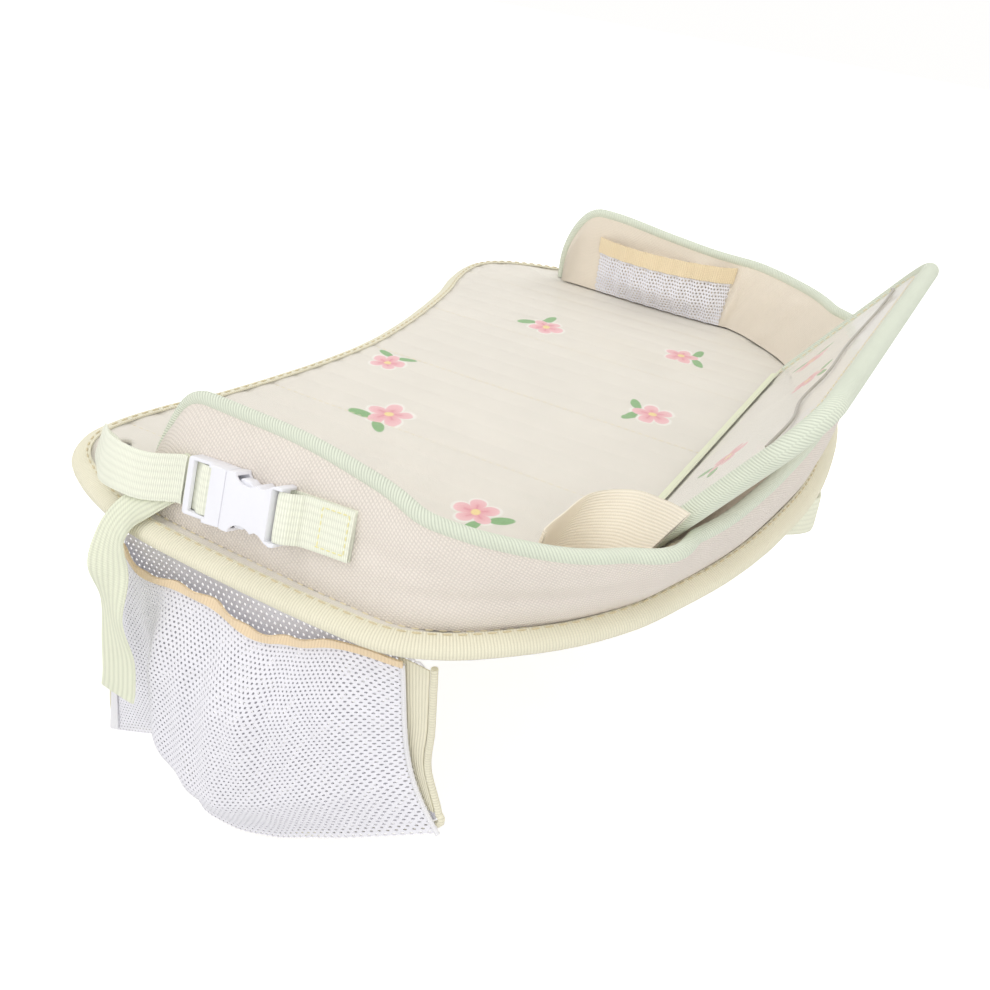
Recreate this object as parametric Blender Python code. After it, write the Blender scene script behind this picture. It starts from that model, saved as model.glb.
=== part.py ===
"""Car seat tray table with a soft wall, a tilting tablet flap, a mesh side pouch and a buckled belt.

Metres, +Z up. +Y points away from the child, towards the flap, and +X towards the side with the buckle.
The origin is the centre of the base's underside.
"""
import math

import bmesh
import bpy
import numpy as np
from mathutils import Matrix, Vector

# Overall size and clearance
HALF_WIDTH = 0.200
BACK_REACH = 0.140
FRONT_REACH = 0.130
GAP = 0.0003

# Base layers, from the underside up
UNDERSIDE_THICK = 0.0008
BOARD_THICK = 0.0030
QUILT_THICK = 0.0025
QUILT_PITCH = 0.0140
QUILT_DIP = 0.0005
FILM_THICK = 0.0004
BINDING_WIDTH = 0.0070
BINDING_LIP = 0.0010

# Wall
WALL_HEIGHT = 0.0575
WALL_FOOT_INSET = 0.0120
WALL_LEAN_INSET = 0.0270
WALL_TOP_WIDTH = 0.0060
WALL_BULGE = 0.0020
WALL_END_ROUND = 0.0320
FLOOR_INSET = 0.0420
PIPING_RADIUS = 0.0028
PANEL_THICK = 0.0010
STIFFENER_THICK = 0.0015
LINING_THICK = 0.0008

# Pocket inside the far wall
POCKET_SHEET = 0.0006
POCKET_BULGE = 0.0100
POCKET_TOP = 0.0420
POCKET_BAND = 0.0090

# Tablet flap
FLAP_HALF_WIDTH = 0.1176
FLAP_LENGTH = 0.1037
FLAP_LEAN = math.radians(37.2)
FLAP_SETBACK = 0.0513
FLAP_HINGE_RISE = 0.0020
FLAP_EDGE_RADIUS = 0.0040
FLAP_EDGE_SETBACK = 0.0024
FLAP_CORNER = 0.0240
FLAP_FOOT = 0.0020
FLAP_FILM_THICK = 0.0004
FLAP_CLOTH_THICK = 0.0008
FLAP_BOARD_THICK = 0.0020
HINGE_TAPE_THICK = 0.0006
HINGE_TAPE_FRONT = 0.0018
HINGE_TAPE_BACK = 0.0036
STRAP_WIDTH = 0.0250
STRAP_THICK = 0.0010

# Belt and buckle, along the belt, up the wall's face and out from it
WEBBING_WIDTH = 0.0176
WEBBING_THICK = 0.0012
SLOT_LENGTH = 0.0280
SLOT_WIDTH = 0.0065
BUCKLE_STANDOFF = 0.0012
BUCKLE_TILT = math.radians(7)
BUCKLE_THICK = 0.0080
SOCKET_LENGTH = 0.0240
SOCKET_HALF_WIDTH = 0.0105
SOCKET_WALL = 0.0012
PLUG_SHOULDER = 0.0066
FRAME_LENGTH = 0.0125
FRAME_RAIL = 0.0020
SIDE_RAIL = 0.0014
FRAME_BAR = 0.0024
FRAME_THICK = 0.0056
WEB_SLOT = 0.0035
END_BAR = 0.0020
ANCHOR_LENGTH = 0.0255
TONGUE_HALF_WIDTH = 0.0020
PRONG_ROOM = 0.0024

# Side pouch
POUCH_SEAM_INSET = 0.0130
POUCH_LEFT = 0.0765
POUCH_RIGHT = 0.0590
POUCH_DEPTH = 0.1240
POUCH_BULGE = 0.0160
POUCH_FOLD = 0.0035
POUCH_SHEET = 0.0008
POUCH_HEM_HEIGHT = 0.0036
POUCH_HEADER = 0.0033
POUCH_EDGE_RADIUS = 0.0013

# Base outline, half of it from the back centre to the front centre, as shares of the half width and of
# the back or front reach
OUTLINE_SHARES = (
    (0.000, 1.000), (0.245, 0.971), (0.425, 0.921), (0.580, 0.850), (0.680, 0.793), (0.785, 0.700),
    (0.875, 0.586), (0.945, 0.471), (0.990, 0.340), (1.000, 0.160), (0.998, -0.120), (0.985, -0.460),
    (0.955, -0.650), (0.915, -0.800), (0.865, -0.915), (0.790, -0.985), (0.700, -0.990), (0.590, -0.955),
    (0.480, -0.900), (0.325, -0.848), (0.165, -0.808), (0.000, -0.790))

# The wall's profile along its path, from the back centre, 0, to a front end, 1
WALL_REACH_SHARE = 0.62
NEAR_HEIGHT_SHARES = (
    (0.00, 0.680), (0.14, 0.650), (0.28, 0.615), (0.36, 0.625), (0.46, 0.670), (0.58, 0.780),
    (0.70, 0.890), (0.78, 0.945), (0.86, 0.950), (1.00, 0.950))
FAR_HEIGHT_SHARES = (
    (0.00, 0.680), (0.14, 0.710), (0.28, 0.750), (0.46, 0.790), (0.58, 0.815), (0.70, 0.850),
    (0.78, 0.910), (0.88, 0.995), (1.00, 1.000))
TOP_INSET_SHARES = (
    (0.00, 0.240), (0.20, 0.140), (0.33, 0.040), (0.46, 0.180), (0.58, 0.560), (0.69, 0.890),
    (0.78, 1.000), (1.00, 1.000))
FOOT_INSET_SHARES = ((0.00, 0.780), (0.50, 0.780), (0.75, 1.000), (1.00, 1.000))
FLOOR_INSET_SHARES = (
    (0.00, 1.000), (0.14, 0.950), (0.24, 0.790), (0.33, 0.560), (0.40, 0.540), (0.50, 0.670),
    (0.62, 0.820), (0.75, 0.880), (0.86, 0.810), (1.00, 0.640))
POCKET_SPAN_SHARES = (0.655, 0.905)
BUCKLE_PATH_SHARE = 0.7734
BUCKLE_RISE_SHARE = 0.543

# Belt places, as shares of the half width, the front or back reach, and the wall's height
SLOT_SHARES = (0.815, -0.800)
BOW_SHARES = (-0.085, 1.060, -0.230)
LEAD_ROUTE_SHARES = (
    (0.948, -0.485, 0.424, -0.30, 0.00, 0.95),
    (0.943, -0.590, 0.403, -0.34, -0.05, 0.94),
    (0.922, -0.673, 0.369, -0.50, -0.20, 0.84),
    (0.885, -0.746, 0.329, -0.66, -0.38, 0.64),
    (0.848, -0.814, 0.277, -0.78, -0.50, 0.35),
    (0.826, -0.840, 0.212, -0.82, -0.56, 0.10),
    (0.816, -0.812, 0.150, -0.82, -0.57, 0.00),
    (0.815, -0.803, 0.060, -0.82, -0.57, 0.00),
    (0.815, -0.800, -0.030, -0.82, -0.57, 0.00))
TAIL_ROUTE_SHARES = (
    (0.940, -0.442, 0.334, -0.40, -0.05, 0.91),
    (0.960, -0.488, 0.237, -0.68, -0.38, 0.60),
    (0.994, -0.512, 0.132, -0.50, -0.82, 0.27),
    (1.015, -0.511, 0.030, -0.20, -0.97, 0.05),
    (1.030, -0.500, -0.150, 0.12, -0.99, 0.00),
    (1.040, -0.478, -0.400, -0.34, -0.94, 0.00),
    (1.046, -0.452, -0.680, -0.10, -0.99, 0.00),
    (1.049, -0.449, -0.900, -0.08, -0.99, 0.00),
    (1.050, -0.456, -1.020, -0.08, -0.99, 0.00))
BELT_ROUTE_SHARES = (
    (0.813, -0.795, -0.047, 0.82, 0.57, 0.00),
    (0.700, -0.500, -0.080, 0.82, 0.57, 0.00),
    (0.520, -0.070, -0.115, 0.81, 0.57, 0.10),
    (0.300, 0.340, -0.160, 0.72, 0.50, 0.48),
    (0.120, 0.680, -0.205, 0.40, 0.28, 0.87),
    (0.010, 0.860, -0.228, 0.10, 0.05, 0.99),
    (-0.035, 0.945, -0.230, 0.00, 0.00, 1.00),
    (-0.085, 0.990, -0.230, 0.00, 0.00, 1.00),
    (-0.140, 0.955, -0.230, 0.00, 0.00, 1.00),
    (-0.200, 0.840, -0.225, 0.08, -0.05, 0.99),
    (-0.310, 0.600, -0.195, 0.42, -0.30, 0.85),
    (-0.450, 0.250, -0.150, 0.74, -0.50, 0.44),
    (-0.600, -0.150, -0.105, 0.82, -0.56, 0.10),
    (-0.740, -0.560, -0.060, 0.82, -0.57, 0.00),
    (-0.800, -0.740, -0.024, 0.82, -0.57, 0.00),
    (-0.840, -0.850, -0.018, 0.82, -0.57, 0.00))
STRAP_ROUTE_SHARES = (
    (0.344660, 0.520, 0.376, -0.15, 0.15, 0.98),
    (0.233010, 0.512, 0.400, -0.30, 0.30, 0.90),
    (0.065534, 0.545, 0.457, -0.55, 0.20, 0.80),
    (-0.031553, 0.642, 0.495, -0.66, 0.05, 0.74),
    (0.009709, 0.726, 0.543, -0.46, 0.25, 0.84),
    (0.077670, 0.792, 0.606, -0.16, 0.50, 0.85))

# Pouch outlines, as shares of the pouch's reach to either side and of its depth
POUCH_HEM_SHARES = (
    (-1.00, 0.040), (-0.93, 0.062), (-0.81, 0.108), (-0.66, 0.092), (-0.46, 0.076), (-0.28, 0.084),
    (-0.11, 0.121), (0.11, 0.101), (0.35, 0.077), (0.62, 0.042), (1.00, 0.038))
POUCH_BOTTOM_SHARES = (
    (-1.16, 0.865), (-0.95, 0.815), (-0.74, 0.775), (-0.64, 0.870), (-0.50, 1.000), (-0.23, 0.985),
    (0.12, 0.905), (0.62, 0.755), (1.19, 0.575))
POUCH_BACK_SHARES = (
    (-1.00, 0.036), (-1.05, 0.300), (-1.10, 0.560), (-1.13, 0.760), (-1.09, 0.820), (-0.95, 0.782),
    (-0.75, 0.742), (-0.63, 0.830), (-0.48, 0.958), (-0.23, 0.946), (0.12, 0.868), (0.62, 0.718),
    (1.10, 0.562), (1.12, 0.520), (1.02, 0.380), (1.02, 0.250), (1.01, 0.140), (1.00, 0.036))
POUCH_HEADER_SHARES = (-1.00, 0.86)
POUCH_NOTCH_SHARE = 0.066

# Heights that follow from the layers
BOARD_Z = max(BINDING_LIP, UNDERSIDE_THICK) + GAP
QUILT_Z = BOARD_Z + BOARD_THICK + GAP
FLOOR_Z = QUILT_Z + QUILT_THICK + GAP
BINDING_HEIGHT = FLOOR_Z + BINDING_LIP
FILM_TOP = FLOOR_Z + FILM_THICK
FLAP_HINGE_Y = BACK_REACH - FLAP_SETBACK
FLAP_HINGE_Z = FILM_TOP + FLAP_HINGE_RISE
POUCH_SEAM_X = HALF_WIDTH - POUCH_SEAM_INSET
GROOVE_INSET = BINDING_LIP + 2 * GAP
WALL_CLEAR = 2 * PIPING_RADIUS + 4 * GAP

# Counts along the swept shapes
RIM_STEPS = 150
WALL_STEPS = 20
WALL_END_STEPS = 7
RIBBON_STEPS = 5

COLOURS = {
    "beige": (0.80, 0.73, 0.64), "lining": (0.78, 0.70, 0.58), "cream": (0.86, 0.84, 0.64),
    "mint": (0.75, 0.82, 0.70), "lime": (0.84, 0.90, 0.60), "elastic": (0.86, 0.76, 0.55),
    "white": (0.92, 0.92, 0.93), "mesh": (0.90, 0.90, 0.93), "film": (0.86, 0.85, 0.82),
    "foam": (0.88, 0.87, 0.84), "board": (0.70, 0.70, 0.72), "quilt": (0.84, 0.81, 0.76)}


# Curves and shares

def through_points(points, steps, closed=False):
    """Return points on a smooth curve through the given rows, with the given steps between two rows."""
    rows = np.array(points, float)
    count = len(rows)
    spans = count if closed else count - 1
    samples = []
    for index in range(spans):
        if closed:
            before, start, end, after = (rows[(index + k) % count] for k in (-1, 0, 1, 2))
        else:
            start, end = rows[index], rows[index + 1]
            before = rows[index - 1] if index else 2 * start - end
            after = rows[index + 2] if index + 2 < count else 2 * end - start
        for step in range(steps):
            t = step / steps
            samples.append(start + 0.5 * t * (end - before + t * (2 * before - 5 * start + 4 * end - after
                           + t * (3 * (start - end) + after - before))))
    if not closed:
        samples.append(rows[-1])
    return np.array(samples)


def eased(table, share):
    """Return a table's value at a share of the path, on a smooth curve through the table's rows."""
    rows = np.array(table)
    slopes = np.gradient(rows[:, 1], rows[:, 0])
    place = min(max(share, rows[0, 0]), rows[-1, 0])
    index = min(max(int(np.searchsorted(rows[:, 0], place)) - 1, 0), len(rows) - 2)
    width = rows[index + 1, 0] - rows[index, 0]
    t = (place - rows[index, 0]) / width
    start, end = rows[index, 1], rows[index + 1, 1]
    rise = (3 - 2 * t) * t * t * (end - start)
    return start + rise + width * t * (1 - t) * ((1 - t) * slopes[index] - t * slopes[index + 1])


def fade(value):
    """Return a smooth step from 0 to 1."""
    t = min(max(value, 0.0), 1.0)
    return t * t * (3 - 2 * t)


class Rim:
    """The base's outline, read by the distance along it from the back centre, towards +X when positive."""

    def __init__(self):
        half = [(x * HALF_WIDTH, y * (BACK_REACH if y > 0 else FRONT_REACH)) for x, y in OUTLINE_SHARES]
        mirrored = [(-x, y) for x, y in half[-2:0:-1]]
        self.points = through_points(half + mirrored, 12, closed=True)
        ends = np.vstack([self.points, self.points[:1]])
        self.lengths = np.concatenate([[0], np.cumsum(np.linalg.norm(np.diff(ends, axis=0), axis=1))])
        self.total = self.lengths[-1]

    def at(self, distance):
        """Return the outline's point and its inward unit normal."""
        place = distance % self.total
        index = int(np.searchsorted(self.lengths, place, side="right")) - 1
        start = self.points[index]
        end = self.points[(index + 1) % len(self.points)]
        t = (place - self.lengths[index]) / (self.lengths[index + 1] - self.lengths[index])
        before = self.points[index - 1]
        after = self.points[(index + 2) % len(self.points)]
        tangent = (1 - t) * (end - before) + t * (after - start)
        tangent /= np.linalg.norm(tangent)
        return start + t * (end - start), np.array([tangent[1], -tangent[0]])

    def place(self, distance, inset, z):
        """Return the point at an inset from the outline and a height."""
        point, inward = self.at(distance)
        point = point + inward * inset
        return Vector((point[0], point[1], z))

    def loop(self, inset_at, z, steps=RIM_STEPS):
        """Return a closed ring of points, with the inset given as a function of the distance."""
        places = [self.total * step / steps for step in range(steps)]
        return [self.place(place, inset_at(place), z) for place in places]


RIM = Rim()
WALL_REACH = WALL_REACH_SHARE * RIM.total / 2


def wall_share(distance):
    """Return how far along the wall a distance from the back centre lies, from 0 to 1."""
    return abs(distance) / WALL_REACH


def signed(distance):
    """Return a rim distance as a signed one, negative on the far side."""
    return distance if distance <= RIM.total / 2 else distance - RIM.total


def wall_top(distance):
    """Return the height of the wall's top, before its front ends are rounded."""
    table = NEAR_HEIGHT_SHARES if distance >= 0 else FAR_HEIGHT_SHARES
    return WALL_HEIGHT * eased(table, wall_share(distance))


def foot_inset(distance):
    """Return the inset of the wall's outer foot."""
    return WALL_FOOT_INSET * eased(FOOT_INSET_SHARES, wall_share(distance))


def floor_inset(distance):
    """Return the inset of the wall's inner foot."""
    return FLOOR_INSET * eased(FLOOR_INSET_SHARES, wall_share(distance))


def flap_back_y(z):
    """Return the Y of the flap's back at a height, as the flap leans at rest."""
    depth = FLAP_EDGE_SETBACK + FLAP_EDGE_RADIUS
    start_y = FLAP_HINGE_Y + depth * math.cos(FLAP_LEAN)
    start_z = FLAP_HINGE_Z - depth * math.sin(FLAP_LEAN)
    return start_y + (z - start_z) * math.tan(FLAP_LEAN)


def top_inset(distance, z):
    """Return the inset of the wall's top edge, which the leaning flap presses outwards at the back."""
    lean = WALL_LEAN_INSET * eased(TOP_INSET_SHARES, wall_share(distance))
    middle = 0.5 * (foot_inset(distance) + floor_inset(distance))
    rise = (z - FLOOR_Z) / (wall_top(distance) - FLOOR_Z)
    inset = middle + (lean - middle) * fade(1.2 * rise)
    point, inward = RIM.at(distance)
    here = point + inward * inset
    if here[1] < 0:
        return inset
    needed = flap_back_y(z) + (PIPING_RADIUS + 2 * GAP) / math.cos(FLAP_LEAN)
    beside_flap = fade(1 - (abs(here[0]) - FLAP_HALF_WIDTH) / WALL_LEAN_INSET)
    push = max(needed - here[1], 0.0) * beside_flap * fade(-2.5 * inward[1] - 0.75)
    return inset - push / max(-inward[1], 0.5)


def stretch(distance):
    """Return how much longer the outline is than the wall's inner top edge, at a distance along it."""
    reach = WALL_TOP_WIDTH
    inset = floor_inset(distance)
    span = RIM.place(distance + reach, inset, 0) - RIM.place(distance - reach, inset, 0)
    return 2 * reach / span.length


def wall_line(offset):
    """Return (distance, height) stations of the wall's top edge, moved in by an offset from it."""
    low = FLOOR_Z + WALL_CLEAR
    straight = WALL_REACH - WALL_END_ROUND
    angles = [0.5 * math.pi * step / WALL_END_STEPS for step in range(WALL_END_STEPS)]
    near = [(straight + WALL_END_ROUND * math.cos(angle), math.sin(angle)) for angle in angles]
    near += [(straight * (1 - step / WALL_STEPS), 1.0) for step in range(WALL_STEPS)]
    line = near + [(0.0, 1.0)] + [(-distance, rise) for distance, rise in reversed(near)]
    stations = np.array([(d, low + (wall_top(d) - low) * rise) for d, rise in line])
    steps = np.diff(stations, axis=0)
    steps /= np.linalg.norm(steps, axis=1)[:, None]
    steps = np.vstack([[(0, 1)], steps[:-1] + steps[1:], [(0, -1)]])
    steps /= np.linalg.norm(steps, axis=1)[:, None]
    outward = np.stack([[rise * stretch(d), -run] for (run, rise), d in zip(steps, stations[:, 0])])
    return stations - offset * outward


def outer_inset(distance, top_z, rise):
    """Return the inset of the wall's outer face at a share of its height."""
    foot = foot_inset(distance)
    top = top_inset(distance, top_z) - WALL_TOP_WIDTH / 2
    return foot + rise * (top - foot) - 4 * WALL_BULGE * rise * (1 - rise)


def inner_inset(distance, top_z, rise):
    """Return the inset of the wall's inner face at a share of its height."""
    foot = floor_inset(distance)
    top = top_inset(distance, top_z) + WALL_TOP_WIDTH / 2
    return foot + rise * (top - foot)


# Mesh helpers

def material_for(name, colour, roughness=0.6, metallic=0.0):
    """Return a Principled material of its own for one piece."""
    material = bpy.data.materials.new(name)
    material.use_nodes = True
    shader = material.node_tree.nodes["Principled BSDF"]
    shader.inputs["Base Color"].default_value = (*COLOURS[colour], 1.0)
    shader.inputs["Roughness"].default_value = roughness
    shader.inputs["Metallic"].default_value = metallic
    return material


def add_mesh(name, mesh_data, colour, parent=None, roughness=0.6):
    """Turn a bmesh into an object with its own material."""
    bmesh.ops.recalc_face_normals(mesh_data, faces=mesh_data.faces)
    mesh = bpy.data.meshes.new(name)
    mesh_data.to_mesh(mesh)
    mesh_data.free()
    mesh.materials.append(material_for(name, colour, roughness))
    piece = bpy.data.objects.new(name, mesh)
    bpy.context.collection.objects.link(piece)
    piece.parent = parent
    return piece


def sweep(rings, closed=False):
    """Return a bmesh skinned through rings of equal count, with its ends capped unless it is closed."""
    mesh = bmesh.new()
    rows = [[mesh.verts.new(point) for point in ring] for ring in rings]
    count = len(rows[0])
    pairs = list(zip(rows, rows[1:]))
    if closed:
        pairs.append((rows[-1], rows[0]))
    for row, following in pairs:
        for k in range(count):
            after = (k + 1) % count
            mesh.faces.new((row[k], row[after], following[after], following[k]))
    if not closed:
        mesh.faces.new(rows[0])
        mesh.faces.new(rows[-1])
    return mesh


def plate(points, direction):
    """Return a bmesh of a flat outline extruded by a vector."""
    mesh = bmesh.new()
    face = mesh.faces.new([mesh.verts.new(point) for point in points])
    grown = bmesh.ops.extrude_face_region(mesh, geom=[face])
    moved = [item for item in grown["geom"] if isinstance(item, bmesh.types.BMVert)]
    bmesh.ops.translate(mesh, verts=moved, vec=direction)
    return mesh


def sheet(grid, thickness_at):
    """Return a thin closed body on a grid of points, grown along a vector given for each point."""
    mesh = bmesh.new()
    front = [[mesh.verts.new(point) for point in row] for row in grid]
    back = [[mesh.verts.new(point + thickness_at(i, j)) for j, point in enumerate(row)]
            for i, row in enumerate(grid)]
    rows, columns = len(grid), len(grid[0])
    for i in range(rows - 1):
        for j in range(columns - 1):
            for a, b, c in (((i, j), (i, j + 1), (i + 1, j + 1)), ((i, j), (i + 1, j + 1), (i + 1, j))):
                mesh.faces.new([front[p][q] for p, q in (a, b, c)])
                mesh.faces.new([back[p][q] for p, q in (c, b, a)])
    border = [(0, j) for j in range(columns)] + [(i, columns - 1) for i in range(1, rows)]
    border += [(rows - 1, j) for j in range(columns - 2, -1, -1)] + [(i, 0) for i in range(rows - 2, 0, -1)]
    for (i, j), (k, m) in zip(border, border[1:] + border[:1]):
        mesh.faces.new((front[i][j], back[i][j], back[k][m], front[k][m]))
    return mesh


def ribbon(route, width, thickness, steps=RIBBON_STEPS):
    """Return a flat strap along a route of centre points and width directions."""
    samples = through_points(route, steps)
    centres = samples[:, :3]
    tangents = np.gradient(centres, axis=0)
    rings = []
    for centre, tangent, across in zip(centres, tangents, samples[:, 3:]):
        side = Vector(across).normalized() * (width / 2)
        out = Vector(tangent).cross(side).normalized() * (thickness / 2)
        middle = Vector(centre)
        rings.append([middle + side + out, middle - side + out, middle - side - out, middle + side - out])
    return sweep(rings)


def tube(name, points, radius, colour, parent=None, resolution=2):
    """Add a round tube along points, with filled ends."""
    curve = bpy.data.curves.new(name, "CURVE")
    curve.dimensions = "3D"
    curve.bevel_depth = radius
    curve.bevel_resolution = resolution
    curve.use_fill_caps = True
    spline = curve.splines.new("POLY")
    spline.points.add(len(points) - 1)
    for target, point in zip(spline.points, points):
        target.co = (*point, 1.0)
    curve.materials.append(material_for(name, colour))
    piece = bpy.data.objects.new(name, curve)
    bpy.context.collection.objects.link(piece)
    piece.parent = parent
    return piece


def cutter(name, mesh_data, parent=None):
    """Add a hidden shape that cuts others."""
    bmesh.ops.recalc_face_normals(mesh_data, faces=mesh_data.faces)
    mesh = bpy.data.meshes.new(name)
    mesh_data.to_mesh(mesh)
    mesh_data.free()
    piece = bpy.data.objects.new(name, mesh)
    bpy.context.collection.objects.link(piece)
    piece.parent = parent
    piece.hide_render = True
    piece.display_type = "WIRE"
    return piece


def cut(piece, tool):
    """Take the tool's shape out of a piece."""
    boolean = piece.modifiers.new("cut", "BOOLEAN")
    boolean.operation = "DIFFERENCE"
    boolean.solver = "EXACT"
    boolean.object = tool


def join(piece, other):
    """Fuse another hidden shape into a piece."""
    boolean = piece.modifiers.new("join", "BOOLEAN")
    boolean.operation = "UNION"
    boolean.solver = "EXACT"
    boolean.object = other


def frame_empty(name, origin, along, up, out):
    """Add an empty whose X, Y and Z axes are the three given directions."""
    empty = bpy.data.objects.new(name, None)
    bpy.context.collection.objects.link(empty)
    turn = Matrix((along, up, out)).transposed().to_4x4()
    empty.matrix_world = Matrix.Translation(origin) @ turn
    return empty


# Base

def base_layer(name, inset, z, thickness, colour, roughness=0.6):
    """Add one flat layer of the base."""
    ring = RIM.loop(lambda distance: inset, z)
    return add_mesh(name, plate(ring, Vector((0, 0, thickness))), colour, roughness=roughness)


def film_inset(distance):
    """Return the film's inset: at the wall's inner foot, and at the binding between the front ends."""
    place = signed(distance)
    open_inset = BINDING_WIDTH + GAP
    past = fade((abs(place) - WALL_REACH) / WALL_END_ROUND)
    inside = floor_inset(place) + LINING_THICK + GAP
    return inside + past * (open_inset - inside)


def quilted_floor():
    """Add the padded floor, with sewn channels that run from front to back."""
    mesh = plate(RIM.loop(lambda distance: GROOVE_INSET, QUILT_Z), Vector((0, 0, QUILT_THICK)))
    channels = int(2 * HALF_WIDTH / QUILT_PITCH)
    for step in range(1, 2 * channels):
        x = (step - channels) * QUILT_PITCH / 2
        geometry = mesh.verts[:] + mesh.edges[:] + mesh.faces[:]
        bmesh.ops.bisect_plane(mesh, geom=geometry, dist=GAP / 10, plane_co=(x, 0, 0), plane_no=(1, 0, 0))
    for vertex in mesh.verts:
        phase = vertex.co.x / QUILT_PITCH
        on_seam = abs(phase - round(phase)) < 0.02
        if on_seam and vertex.co.z > QUILT_Z + QUILT_THICK / 2:
            vertex.co.z -= QUILT_DIP
    return add_mesh("floor_quilt", mesh, "quilt", roughness=0.8)


def slot_cutter():
    """Add the cutter of the belt's slot, which lies square to the belt's run under the base."""
    x, y = SLOT_SHARES[0] * HALF_WIDTH, SLOT_SHARES[1] * FRONT_REACH
    run = Vector((BOW_SHARES[0] * HALF_WIDTH - x, BOW_SHARES[1] * BACK_REACH - y, 0)).normalized()
    side = Vector((run.y, -run.x, 0))
    points = []
    for end in (1, -1):
        for step in range(7):
            angle = math.pi * (step / 6 - 0.5) * end
            round_end = side * end * (SLOT_LENGTH / 2 - SLOT_WIDTH / 2 + math.cos(angle) * SLOT_WIDTH / 2)
            points.append(Vector((x, y, -FLOOR_Z)) + round_end + run * math.sin(angle) * SLOT_WIDTH / 2)
    return cutter("slot_cutter", plate(points, Vector((0, 0, 4 * FLOOR_Z))))


def base():
    """Add the base's layers and its bound edge."""
    underside = base_layer("underside_panel", BINDING_WIDTH + GAP, 0.0, UNDERSIDE_THICK, "beige")
    board = base_layer("base_board", GROOVE_INSET, BOARD_Z, BOARD_THICK, "board")
    quilt = quilted_floor()
    ring = RIM.loop(film_inset, FLOOR_Z)
    film = add_mesh("floor_film", plate(ring, Vector((0, 0, FILM_THICK))), "film", roughness=0.1)
    tool = slot_cutter()
    for layer in (underside, board, quilt, film):
        cut(layer, tool)
    rim_binding()


def rim_binding():
    """Add the folded tape that holds the edges of the base's layers."""
    height, lip, width = BINDING_HEIGHT, BINDING_LIP, BINDING_WIDTH
    section = ((width, 0), (width, lip), (lip, lip), (lip, height - lip), (width, height - lip),
               (width, height), (2 * lip, height), (lip / 2, height - lip), (0, height / 2),
               (lip / 2, lip), (2 * lip, 0))
    rings = []
    for step in range(RIM_STEPS):
        distance = RIM.total * step / RIM_STEPS
        rings.append([RIM.place(distance, inset, z) for inset, z in section])
    add_mesh("rim_binding", sweep(rings, closed=True), "cream")


# Wall

def wall_layer(name, outer_at, inner_at, colour, rises=(0.0, 0.35, 0.7, 1.0)):
    """Add one layer of the wall between two faces, each an inset by distance, top height and rise."""
    outer, inner = [], []
    for distance, top_z in wall_line(WALL_CLEAR):
        heights = [FLOOR_Z + rise * (top_z - FLOOR_Z) for rise in rises]
        levels = list(zip(rises, heights))
        outer.append([RIM.place(distance, outer_at(distance, top_z, rise), z) for rise, z in levels])
        inner.append([RIM.place(distance, inner_at(distance, top_z, rise), z) for rise, z in levels])
    return add_mesh(name, sheet(outer, lambda i, j: inner[i][j] - outer[i][j]), colour)


def shifted(face, depth):
    """Return a face moved further in by a depth."""
    return lambda distance, top_z, rise: face(distance, top_z, rise) + depth


def wall():
    """Add the wall's skin, stiffener, padding, lining and piping."""
    stiffener_at = PANEL_THICK + GAP
    padding_at = stiffener_at + STIFFENER_THICK + GAP
    wall_layer("wall_outer_panel", outer_inset, shifted(outer_inset, PANEL_THICK), "beige")
    wall_layer("wall_stiffener", shifted(outer_inset, stiffener_at),
               shifted(outer_inset, stiffener_at + STIFFENER_THICK), "board")
    wall_layer("wall_padding", shifted(outer_inset, padding_at),
               shifted(inner_inset, -LINING_THICK - GAP), "foam")
    wall_layer("wall_lining", shifted(inner_inset, -LINING_THICK), inner_inset, "lining")
    line = [tuple(station) for station in wall_line(PIPING_RADIUS)]
    foot = FLOOR_Z + GAP
    line = [(line[0][0], foot)] + line + [(line[-1][0], foot)]
    piping = [RIM.place(d, top_inset(d, z), z) for d, z in line]
    tube("wall_piping", piping, PIPING_RADIUS, "mint")


def pocket_sheet(name, low, high, colour):
    """Add a band of the far wall's pocket between two heights, standing off the lining."""
    start, end = POCKET_SPAN_SHARES
    count = 18
    grid = []
    for step in range(count + 1):
        along = step / count
        distance = -WALL_REACH * (start + (end - start) * along)
        top_z = wall_top(distance) - WALL_CLEAR
        slack = POCKET_BULGE * math.sin(math.pi * along) ** 0.7
        row = []
        for level in range(5):
            z = low + (high - low) * level / 4
            rise = (z - FLOOR_Z) / (top_z - FLOOR_Z)
            loose = slack * fade((z - FLOOR_Z) / (POCKET_TOP / 2 - FLOOR_Z))
            inset = inner_inset(distance, top_z, rise) + GAP + LINING_THICK + loose
            row.append(RIM.place(distance, inset, z))
        grid.append(row)

    def grow(i, j):
        distance = -WALL_REACH * (start + (end - start) * i / count)
        inward = RIM.at(distance)[1]
        return Vector((inward[0], inward[1], 0)) * POCKET_SHEET
    add_mesh(name, sheet(grid, grow), colour)


def inner_pocket():
    """Add the mesh pocket inside the far wall and its elastic top band."""
    band_low = POCKET_TOP - POCKET_BAND
    pocket_sheet("inner_pocket_mesh", FILM_TOP + GAP, band_low - GAP, "mesh")
    pocket_sheet("inner_pocket_elastic", band_low, POCKET_TOP, "elastic")


# Flap

def flap_outline(inset, foot):
    """Return the flap's outline in its own plane, at an inset, with its upper corners rounded."""
    side = FLAP_HALF_WIDTH - inset
    top = FLAP_LENGTH - inset
    radius = FLAP_CORNER - inset
    points = [Vector((side, foot, 0))]
    for centre_x, first in ((side - radius, 0.0), (radius - side, 0.5 * math.pi)):
        for step in range(9):
            angle = first + 0.5 * math.pi * step / 8
            up = top - radius + radius * math.sin(angle)
            points.append(Vector((centre_x + radius * math.cos(angle), up, 0)))
    points.append(Vector((-side, foot, 0)))
    return points


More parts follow.
